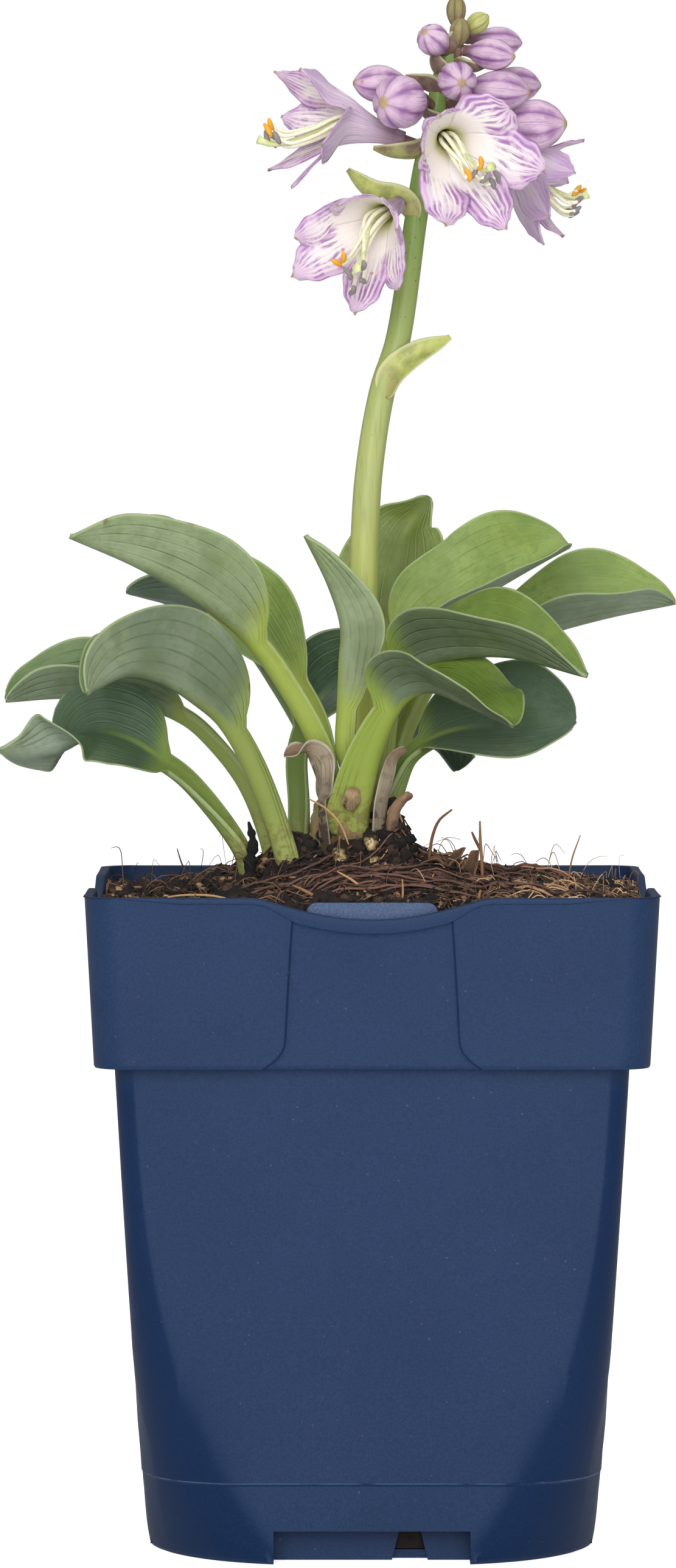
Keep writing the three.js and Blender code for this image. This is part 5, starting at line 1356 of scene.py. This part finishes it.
BRACTS = [
    dict(width=6.4, heading=0, roll=(60,) * 4,
         spine=[(2.6, -4, 213.6), (4.2, -4.6, 217.5), (8.5, -5, 221.3), (14.8, -4.5, 224.8)]),
    dict(width=6.4, heading=200, roll=(35,) * 4,
         spine=[(8.4, -3.4, 246.6), (5.4, -4.2, 249.8), (0.2, -4.8, 251.6), (-4.4, -4.8, 256)]),
    dict(width=5.2, heading=185, roll=(40,) * 4,
         spine=[(11.4, -3, 260.8), (8.4, -4.4, 259), (4.4, -5, 259), (0.4, -4.6, 260)]),
    dict(width=4.6, heading=190, roll=(30,) * 4,
         spine=[(12.8, -3, 269.6), (10.8, -4, 271.6), (8.6, -4.4, 272.4), (6.4, -4, 273.4)]),
    dict(width=3.6, heading=200, roll=(30,) * 4,
         spine=[(13.2, -3, 265), (11.8, -4.6, 265.2), (10.4, -5.4, 266.2), (9.4, -5.6, 267.6)]),
    dict(width=3.8, heading=0, roll=(-40,) * 4,
         spine=[(14, -3, 268.4), (16.4, -4.4, 267.2), (18.6, -5, 267.4), (20.8, -4.6, 268)]),
    dict(width=4, heading=220, roll=(20,) * 4,
         spine=[(14.6, -3, 273), (13, -4.4, 274.2), (12, -5, 276), (11.6, -5, 278)]),
    dict(width=3.4, heading=0, roll=(-40,) * 4,
         spine=[(15.4, -3, 276), (17.4, -4.4, 275), (19.4, -4.6, 274.8), (21.2, -4, 275.2)]),
    dict(width=4.4, heading=-60,
         spine=[(14.8, -3.6, 277.6), (15.6, -5.4, 279), (16.4, -6, 281), (16.8, -5.6, 283)]),
]


def unit(vector):
    """The vector divided by its length."""
    vector = np.asarray(vector, float)
    return vector / np.linalg.norm(vector)


def make_stem_mesh():
    """A round tube whose radius eases from foot to top, with shallow lengthwise ribs."""
    share = np.linspace(0, 1, 170)
    line = smooth_line(STEM_LINE, share)
    eased = between(share, [0.25, 1], [0, 1])
    radius = STEM_FOOT_RADIUS + (STEM_TOP_RADIUS - STEM_FOOT_RADIUS) * eased
    grid = tubes(line[None], radius[None], 40)
    turn = np.linspace(0, 2 * math.pi, 41)[:-1]
    ribbed = 1 + 0.018 * np.sin(7 * turn + 1)
    grid = line[None, :, None] + (grid - line[None, :, None]) * ribbed[None, None, :, None]
    up, round_it = np.broadcast_arrays(share[:, None], turn[None] / (2 * math.pi))
    place = np.stack([up, round_it, 0 * up], -1)
    return closed_form("flowering_stem", grid, {"place": place})


def make_stem_finish():
    """Pale yellow-green at the foot, grey-green halfway, deep green above with purple-brown
    specks, all with a fine lengthwise grain."""
    material, tree, shader = new_material("flowering_stem")
    place = object_place(tree)
    height = axes(place)[2]
    grain = noise(place, 0.7, 3, 0.6, (1, 1, 12))
    cloud = noise(place, 5, 2, 0.5, (1, 1, 3))
    colour = mingle(rise(height, 0.15, 0.2), (206, 212, 100), (174, 182, 112))
    colour = mingle(rise(height, 0.2, 0.262), colour, (112, 144, 62))
    colour = touch(colour, rise(cloud, 0.45, 0.7), 0.3, (150, 168, 96))
    colour = touch(colour, rise(grain, 0.5, 0.72), 0.3, (98, 124, 60))
    upper = rise(height, 0.19, 0.25)
    spots = times(specks(place, 0.9, 0.22), times(upper, 0.75))
    colour = mingle(spots, colour, (92, 66, 74))
    finish_with(shader, colour, grain, 0.0001, 0.6)
    flesh(shader, 0.5, 0.15, (0.0012, 0.0015, 0.0005))
    return material


def stem_point(z):
    """The point of the stem's line at this height, on the straight way between its knots."""
    heights = [p[2] for p in STEM_LINE]
    return np.array([np.interp(z, heights, [p[k] for p in STEM_LINE]) for k in range(3)])


def make_flower_stalks_mesh():
    """Bent tubes from inside the stem to the foot of each flower or bud, thicker at the flower."""
    paths, radii = [], []
    for form in BLOOMS + BUDS + TIP_BUDS:
        way = unit(form["way"])
        end = np.array(form["start"]) + 0.4 * way
        start = stem_point(min(end[2] - 1.4, 280.5))
        bend = end - 1.7 * way
        paths.append(smooth_line([start, bend, end], np.linspace(0, 1, 14)))
        stout = TIP_STALK if form in TIP_BUDS else FLOWER_STALK
        radii.append(stout * np.interp(np.linspace(0, 1, 14), [0, 0.5, 1], [0.85, 0.9, 1.12]))
    grid = tubes(np.stack(paths), np.stack(radii), 14)
    return closed_form("flower_stalks", grid)


def make_flower_stalk_finish(name, low, high, specked):
    """Two tones in soft patches, with dark specks and a fine grain."""
    material, tree, shader = new_material(name)
    place = object_place(tree)
    fine = noise(place, 0.5, 3, 0.6)
    colour = mingle(rise(noise(place, 3.0, 2), 0.38, 0.62), low, high)
    colour = touch(colour, rise(fine, 0.5, 0.75), 0.4, specked)
    colour = touch(colour, specks(place, 0.8, 0.25), 0.6, specked)
    finish_with(shader, colour, fine, 0.0001, 0.6)
    flesh(shader, 0.5, 0.1, (0.001, 0.0008, 0.0005))
    return material


def make_bracts_mesh():
    """Each bract is a small leaf without a stalk, folded like a boat."""
    shared = dict(blade_from=0.01, stalk=(0.7, 0.3), fold=(42, 36, 34, 26), shape=(0.4, 0.8),
                  sweep=0, keel=0.1, thickness=0.3, rows=40, half_columns=8)
    forms = [leaf_grid(**bract, **shared) for bract in BRACTS]
    grids, places, spans = (np.stack(column) for column in zip(*forms))
    return closed_form("bracts", grids, {"place": places, "span": spans})


def make_bract_finish():
    """Yellow-green low on the stem, purple-brown at its top, in soft patches, with a pale rim."""
    material, tree, shader = new_material("bract")
    place = object_place(tree)
    height = axes(place)[2]
    u, v, _ = axes(own(tree, "place"))
    cloud = noise(place, 3.2, 3, 0.6)
    colour = mingle(rise(cloud, 0.4, 0.66), (186, 194, 108), (154, 158, 88))
    aged = mingle(rise(cloud, 0.4, 0.62), (140, 122, 98), (112, 88, 82))
    colour = mingle(rise(scaled(cloud, 0.008, height), 0.258, 0.267), colour, aged)
    colour = touch(colour, fall(u, 0.1, 0.45), 0.4, (132, 92, 88))
    colour = touch(colour, rise(calc("ABSOLUTE", v), 0.72, 0.96), 0.65, (206, 206, 158))
    finish_with(shader, colour, cloud, 0.0001, 0.6)
    flesh(shader, 0.5, 0.15, (0.001, 0.0012, 0.0005))
    return material


stem = new_piece("flowering_stem", make_stem_mesh(), make_stem_finish())
stalk_finish = make_flower_stalk_finish("flower_stalk", (118, 84, 86), (128, 104, 82), (84, 58, 64))
flower_stalks = new_piece("flower_stalks", make_flower_stalks_mesh(), stalk_finish)
bracts = new_piece("bracts", make_bracts_mesh(), make_bract_finish())
for piece in (stem, flower_stalks, bracts):
    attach(piece, "root")
    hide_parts("flower_stem")

# Opened flowers
# Four lilac bells. Each is a narrow tube that widens and splits into six pointed lobes, three
# outer and three inner, white inside with purple stripes and lilac edges.


def flower_frame(way):
    """Two directions square to the way a flower points, the first as upright as it can be."""
    way = unit(way)
    up = unit(np.array([0.0, 0.0, 1.0]) - way[2] * way)
    return way, up, np.cross(way, up)


def lobes_grid(start, way, throat, mouth, lobes, seed, rows=40, columns=15, **_):
    """Six lobes as closed sheets, each given by the place of its tip and its half-width. Along a
    lobe, its middle line runs up the tube to the throat and on to the tip, at a distance z along
    the flower and r from its axis that follow a smooth line. In the tube the lobes share the
    circle evenly, and beyond it each turns to face its own tip. Across, the sheet follows the
    tube's circle at first, and then lies as a shallow cup with wavy edges that roll back at the
    tip. The half-width is a sixth of the circle, and then follows an egg with a point."""
    way, up, other = flower_frame(way)
    tips = np.array([lobe[:3] for lobe in lobes]) - start
    tip_turns = np.arctan2(tips @ other, tips @ up)
    order = np.argsort(tip_turns)
    gaps = np.exp(1j * (tip_turns[order] - math.pi / 3 * np.arange(6)))
    first = np.angle(np.sum(gaps))
    s = np.linspace(0, 1, rows)
    free = between(s, [0.3, 0.62], [0, 1])[:, None]
    forms, places = [], []
    for rank, lobe in enumerate(order):
        tip_z, tip_r = tips[lobe] @ way, math.hypot(tips[lobe] @ up, tips[lobe] @ other)
        knots = [(0, 1.25, 0), (0.3 * throat, 1.6, 0), (0.64 * throat, 2.7, 0), (throat, mouth, 0),
                 (0.5 * (throat + tip_z), mouth + 0.42 * (tip_r - mouth), 0), (tip_z, tip_r, 0)]
        lengths = np.linalg.norm(np.diff(np.array(knots), axis=0), axis=1)
        at_throat = lengths[:3].sum() / lengths.sum()
        shares = np.where(s < 0.4, s / 0.4 * at_throat,
                          at_throat + (s - 0.4) / 0.6 * (1 - at_throat))
        profile = smooth_line(knots, shares)
        z, r = profile[:, :1], profile[:, 1:2]
        even = first + math.pi / 3 * rank
        off = (tip_turns[lobe] - even + math.pi) % (2 * math.pi) - math.pi
        middle = even + off * between(s, [0.3, 0.8], [0, 1])[:, None]
        in_tube = np.tan(math.pi / 6) * r * 1.08
        widest = lobes[lobe][3]
        start_half = in_tube[int(0.4 * rows), 0]
        egg = between(s, [0.4, 0.52, 0.68, 0.82, 0.93, 1.0],
                      [start_half, 0.5 * (start_half + widest), widest, 0.8 * widest, 0.38 * widest,
                       0.05])[:, None]
        half = np.where(s[:, None] < 0.4, in_tube, egg)
        v = np.linspace(-1, 1, columns)[None]
        swing = v * math.pi / 6 * 1.08
        roll_back = between(s, [0.62, 1.0], [-0.24, 0.3])[:, None] * half * v**2
        swell = np.sin(12 * s[:, None] + 2.4 * lobe + seed + 1.5 * np.sign(v))
        ripple = 0.4 * free * np.abs(v) ** 3 * swell
        layer = (0.3 if rank % 2 else -0.3) * free
        radial = r * np.cos(swing) * (1 - free) + (r + roll_back + ripple) * free + layer
        sideways = r * np.sin(swing) * (1 - free) + v * half * free
        depth = z - 0.12 * half * v**2 * free
        rad = up * np.cos(middle)[..., None] + other * np.sin(middle)[..., None]
        tan = other * np.cos(middle)[..., None] - up * np.sin(middle)[..., None]
        sheet = (np.array(start) + radial[..., None] * rad + sideways[..., None] * tan
                 + depth[..., None] * way)
        normal = np.cross(np.gradient(sheet, axis=1), np.gradient(sheet, axis=0))
        normal /= np.linalg.norm(normal, axis=2, keepdims=True) + 1e-9
        thin = 0.19 * (1 - 0.4 * v**4)[..., None]
        rib = 0.2 * np.exp(-((v * half / 0.7) ** 2))[..., None] * (1 - s[:, None, None] ** 4)
        vein = 0.05 * free[..., None] * np.cos(v * 4 * 2 * math.pi)[..., None]
        outside, inside = sheet + normal * (thin + rib + vein), sheet + normal * (vein - thin)
        forms.append(np.concatenate([outside, inside[:, ::-1]], 1))
        spot = np.stack([s[:, None] + 0 * v, v + 0 * s[:, None], 0 * v + 0 * s[:, None]], -1)
        places.append(np.concatenate([spot, spot[:, ::-1] + [0, 0, 1]], 1))
    return np.stack(forms), np.stack(places)


def make_petal_finish():
    """Outside: pale lilac with a paler rib, purple-brown at the tube's foot, and thin purple
    veins. Inside: greenish deep in the throat, then white, with broken purple stripes that
    crowd together towards the lilac edges. Each lobe ends in a tiny tan point."""
    material, tree, shader = new_material("lilac_petal")
    s, v, inside = axes(own(tree, "place"))
    side = calc("ABSOLUTE", v)
    place = object_place(tree)
    streak = streaks(times(s, 3.2), times(v, 9.0), 1.3, 3.0, 0.6, inside)
    cloud = noise(place, 5, 3)
    bent = scaled(calc("SUBTRACT", cloud, 0.5), 0.3, side)
    cell = calc("FRACT", scaled(bent, 4.0, 0.5))
    line = fall(calc("ABSOLUTE", calc("SUBTRACT", cell, 0.5)), 0.1, 0.4)

    outer = mingle(rise(s, 0.02, 0.3), (146, 112, 128), (214, 194, 212))
    outer = mingle(rise(s, 0.45, 0.95), outer, (200, 168, 206))
    outer = touch(outer, times(line, rise(streak, 0.4, 0.64)), 0.5, (152, 108, 164))
    outer = touch(outer, times(fall(side, 0.05, 0.35), rise(s, 0.3, 0.5)), 0.5, (226, 212, 224))
    outer = touch(outer, rise(cloud, 0.5, 0.7), 0.35, (220, 204, 216))

    inner = mingle(rise(s, 0.12, 0.34), (224, 228, 108), (242, 234, 232))
    wash = calc("MAXIMUM", rise(bent, 0.3, 0.95), rise(s, 0.66, 1.0))
    wash = times(wash, rise(s, 0.42, 0.66))
    inner = touch(inner, wash, 0.75, (208, 172, 208))
    band = times(rise(s, 0.44, 0.6), fall(s, 0.88, 1.0))
    crowd = scaled(rise(bent, 0.15, 0.8), 0.16, streak)
    blot = rise(noise(place, 4.2, 3, 0.6), 0.4, 0.56)
    painted = times(band, scaled(blot, 0.75, 0.2))
    stripes = times(times(line, rise(crowd, 0.36, 0.56)), painted)
    inner = mingle(stripes, inner, (150, 92, 160))
    smear = times(rise(crowd, 0.52, 0.72), painted)
    inner = touch(inner, smear, 0.6, (176, 126, 184))

    colour = mingle(rise(inside, 0.3, 0.7), outer, inner)
    colour = touch(colour, rise(s, 0.975, 0.998), 0.8, (176, 152, 104))
    colour = touch(colour, specks(place, 1.8, 0.035), 0.6, (176, 104, 104))
    finish_with(shader, colour, streak, 0.00025, 0.6)
    flesh(shader, 0.5, 0.45, (0.0022, 0.0018, 0.0020))
    hold(shader, {"Sheen Weight": 0.15})
    return material


petal = make_petal_finish()
for form in BLOOMS:
    form = dict(form)
    name = form.pop("name")
    grid, place = lobes_grid(**form)
    bell = formed_piece(name + "_lobes", grid, {"place": place}, petal)
    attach(bell, "root")
    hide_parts(name)

# Stamens and styles
# Six cream filaments and one longer pale green style in each bell. They leave the throat as
# a loose bundle that sags and turns up at the end, and each filament carries a long anther,
# some orange with pollen and some bare and grey.


def stamens_parts(start, way, throat, ends, seed, **_):
    """Filaments are tubes along smooth lines from the tube's foot through the throat, below the
    straight line to their ends by a sag. Anthers are spindles, the style ends in a knob."""
    random = np.random.default_rng(seed + 50)
    way, up, other = flower_frame(way)
    start = np.array(start)
    lines = []
    for k, end in enumerate(np.array(ends, float)):
        turn = 2 * math.pi * k / 6 + seed
        out = (up * math.sin(turn) + other * math.cos(turn)) * (0.3 if k == 6 else 1)
        gate = start + way * throat + out * 1.5
        third, late = gate + 0.45 * (end - gate), gate + 0.82 * (end - gate)
        knots = [start + way * 0.2 * throat + out * 0.6, gate, third - [0, 0, 1.3],
                 late - [0, 0, 1.6], end]
        lines.append(smooth_line(knots, np.linspace(0, 1, 24)))
    filaments = tubes(np.stack(lines[:6]), np.linspace(0.46, 0.34, 24)[None], 8)
    style = tubes(lines[6][None], (0.42 + 0.45 * np.linspace(0, 1, 24) ** 14)[None], 10)
    t = np.linspace(-1, 1, 11)
    anthers = []
    for line in lines[:6]:
        aim = unit(unit(line[-1] - line[-3]) * 0.5 + other * random.normal(0, 0.6)
                   + up * random.uniform(0.2, 1.0))
        bow = np.cross(aim, way) * 0.5
        anthers.append(line[-1] + aim * 1.5 * t[:, None] + bow * (1 - t[:, None] ** 2))
    width = 0.52 * np.sqrt(np.clip(1 - np.abs(t) ** 2.6, 0.03, 1))
    anthers = tubes(np.stack(anthers), width[None], 8)
    tone = np.broadcast_to(np.array([1.0, 0.95, 0.2, 0.05, 0.3, 0.1])[:, None, None, None],
                           (*anthers.shape[:3], 1))
    return filaments, style, anthers, tone


def make_filament_finish(name, low, high):
    """Two close tones in fine soft patches, on slightly translucent flesh."""
    material, tree, shader = new_material(name)
    place = object_place(tree)
    fine = noise(place, 0.8, 3)
    colour = mingle(rise(fine, 0.35, 0.7), low, high)
    finish_with(shader, colour, fine, 0.00008, 0.5)
    flesh(shader, 0.45, 0.3, (0.001, 0.001, 0.0006))
    return material


filament = make_filament_finish("filament", (240, 236, 204), (250, 247, 230))
style_finish = make_filament_finish("style", (206, 214, 150), (228, 230, 180))
anther_finish = toned_material("anther", (146, 140, 138), (96, 88, 92), (252, 178, 34), 0.35, 0.7)
for form in BLOOMS:
    form = dict(form)
    name = form.pop("name").replace("bloom", "stamens")
    filaments, style, anthers, tone = stamens_parts(**form)
    made = [formed_piece(name + "_filaments", filaments, None, filament),
            formed_piece(name + "_style", style, None, style_finish),
            formed_piece(name + "_anthers", anthers, {"tone": tone}, anther_finish)]
    for piece in made:
        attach(piece, "root")
        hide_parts(name)

# Buds
# Nine closed lilac buds with broad pale ribs between six seams, dark purple veins and a tan
# point, and three small yellow-green buds at the very top of the stem.


def bud_grid(start, way, length, radius, rows=36, columns=72):
    """Rings about the axis: the radius follows a smooth line of shares from the foot to the
    point. It is pressed in at six seams by 0.13·(1 − |sin 3a|)⁴, and is ribbed by
    0.02·|sin 9a|, both only past the foot."""
    way, up, other = flower_frame(way)
    profile = smooth_line([(0, 0.34, 0), (0.12, 0.4, 0), (0.27, 0.7, 0), (0.48, 0.98, 0),
                           (0.66, 1.0, 0), (0.84, 0.74, 0),
                           (0.95, 0.36, 0), (1.0, 0.12, 0)], np.linspace(0, 1, rows))
    turn = np.linspace(0, 2 * math.pi, columns + 1)[:-1][None]
    share = profile[:, :1]
    seam = (1 - np.abs(np.sin(3 * turn))) ** 4
    body = np.clip((share - 0.1) / 0.2, 0, 1)
    r = radius * profile[:, 1:2] * (1 - 0.13 * seam * body + 0.02 * np.abs(np.sin(9 * turn)) * body)
    grid = (np.array(start) + (share * length)[..., None] * way
            + (r * np.cos(turn))[..., None] * up + (r * np.sin(turn))[..., None] * other)
    lobe = np.abs(np.sin(3 * turn)) + 0 * share
    place = np.stack([share + 0 * turn, lobe, turn / (2 * math.pi) + 0 * share], -1)
    return grid[None], place[None]


def make_bud_finish(name, rib, seam, vein, point, foot):
    """The rib colour in the middle of each lobe runs softly into the seam colour between lobes,
    with dark veins, soft patches, a tinted foot and a tan point."""
    material, tree, shader = new_material(name)
    share, lobe, turn = axes(own(tree, "place"))
    streak = streaks(times(share, 2.2), times(turn, 54.0), 1.5, 3.0, 0.6)
    cloud = noise(object_place(tree), 3.5, 3)
    blurred = scaled(calc("SUBTRACT", calc("ADD", streak, cloud), 1.0), 1.7, lobe)
    colour = mingle(rise(blurred, 0.0, 1.1), seam, rib)
    colour = touch(colour, rise(streak, 0.47, 0.64), 0.55, vein)
    colour = touch(colour, rise(cloud, 0.52, 0.72), 0.3, rib)
    colour = touch(colour, rise(share, 0.84, 0.97), 0.45, rib)
    colour = mingle(fall(share, 0.08, 0.3), colour, foot)
    colour = touch(colour, rise(share, 0.96, 0.99), 0.85, point)
    colour = touch(colour, specks(object_place(tree), 1.8, 0.05), 0.6, (196, 110, 90))
    finish_with(shader, colour, streak, 0.00025, 0.6)
    flesh(shader, 0.48, 0.2, (0.0015, 0.001, 0.0015))
    return material


lilac_bud = make_bud_finish("lilac_bud", (222, 194, 214), (158, 112, 162), (140, 90, 150),
                            (190, 162, 116), (128, 90, 104))
green_bud = make_bud_finish("green_bud", (158, 150, 96), (130, 114, 80), (108, 84, 66),
                            (134, 96, 74), (104, 92, 72))
pale_bud = make_bud_finish("pale_bud", (200, 202, 128), (172, 174, 98), (140, 136, 76),
                           (150, 126, 82), (128, 122, 78))
for form in BUDS + TIP_BUDS:
    form = dict(form)
    name = form.pop("name")
    green = name.startswith("tip")
    grid, place = bud_grid(**form)
    finish = pale_bud if name == "tip_bud_3" else green_bud if green else lilac_bud
    bud = formed_piece(name + "_closed", grid, {"place": place}, finish)
    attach(bud, "root")
    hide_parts(name)

# The floor, the light and the camera
# A plain pale floor and a pale surround, with three wide soft lamps: one in front, above and
# to the left, one low in front to the right, and one overhead. The camera stands where the
# photograph was taken from.

FLOOR_HALF = 4000.0
LENS = 152.8
CAMERA_PLACE = (-0.0062, -1.250, 0.19713)
CAMERA_TILT = 87.432


def make_floor_finish():
    """Pale matt ground that glows white only where the camera sees it."""
    material, tree, shader = new_material("pale_floor")
    cloud = noise(object_place(tree), 300, 2)
    colour = mingle(cloud, (0.86, 0.86, 0.86, 1), (0.9, 0.9, 0.9, 1))
    finish_with(shader, colour)
    hold(shader, {"Roughness": 0.9})
    seen = node(tree, "LightPath").outputs["Is Camera Ray"]
    tree.links.new(mingle(seen, (0.15, 0.15, 0.15, 1), (1, 1, 1, 1)),
                   shader.inputs["Emission Color"])
    hold(shader, {"Emission Strength": 0.75})
    return material


floor_mesh = bpy.data.meshes.new("floor")
corners = np.array([[-1, -1, 0], [1, -1, 0], [1, 1, 0], [-1, 1, 0]]) * FLOOR_HALF / 1000
floor_mesh.from_pydata(corners.tolist(), [], [[0, 1, 2, 3]])
floor = new_piece("floor", floor_mesh, make_floor_finish())


def soft_light(name, place, target, size, power):
    """A square area light at a place in metres, aimed at the target."""
    light = bpy.data.lights.new(name, "AREA")
    light.size = size
    light.energy = power
    lamp = bpy.data.objects.new(name, light)
    bpy.context.scene.collection.objects.link(lamp)
    aim = unit(np.array(target) - np.array(place))
    lamp.location = place
    lamp.rotation_euler = (math.acos(-aim[2]), 0, math.atan2(aim[1], aim[0]) - math.pi / 2)


soft_light("key", (-0.4, -2.0, 0.9), (0, 0, 0.15), 1.3, 26)
soft_light("front", (0.35, -2.1, 0.35), (0, 0, 0.12), 1.2, 16)
soft_light("top", (0.1, 0.3, 1.7), (0, 0, 0.2), 1.2, 10)


def make_studio():
    """White where the camera sees it, and a softer even light on the object."""
    world = bpy.data.worlds.new("studio")
    world.use_nodes = True
    tree = world.node_tree
    seen = node(tree, "LightPath").outputs["Is Camera Ray"]
    strength = scaled(seen, 0.7, 0.3)
    tree.nodes["Background"].inputs["Color"].default_value = (1, 1, 1, 1)
    tree.links.new(strength, tree.nodes["Background"].inputs["Strength"])
    return world


bpy.context.scene.world = make_studio()
bpy.context.scene.view_settings.view_transform = "Standard"

lens = bpy.data.cameras.new("camera")
lens.lens = LENS
lens.sensor_width = 36
lens.sensor_fit = "AUTO"
camera = bpy.data.objects.new("camera", lens)
bpy.context.scene.collection.objects.link(camera)
camera.location = CAMERA_PLACE
camera.rotation_euler = (math.radians(CAMERA_TILT), 0, 0)
bpy.context.scene.camera = camera
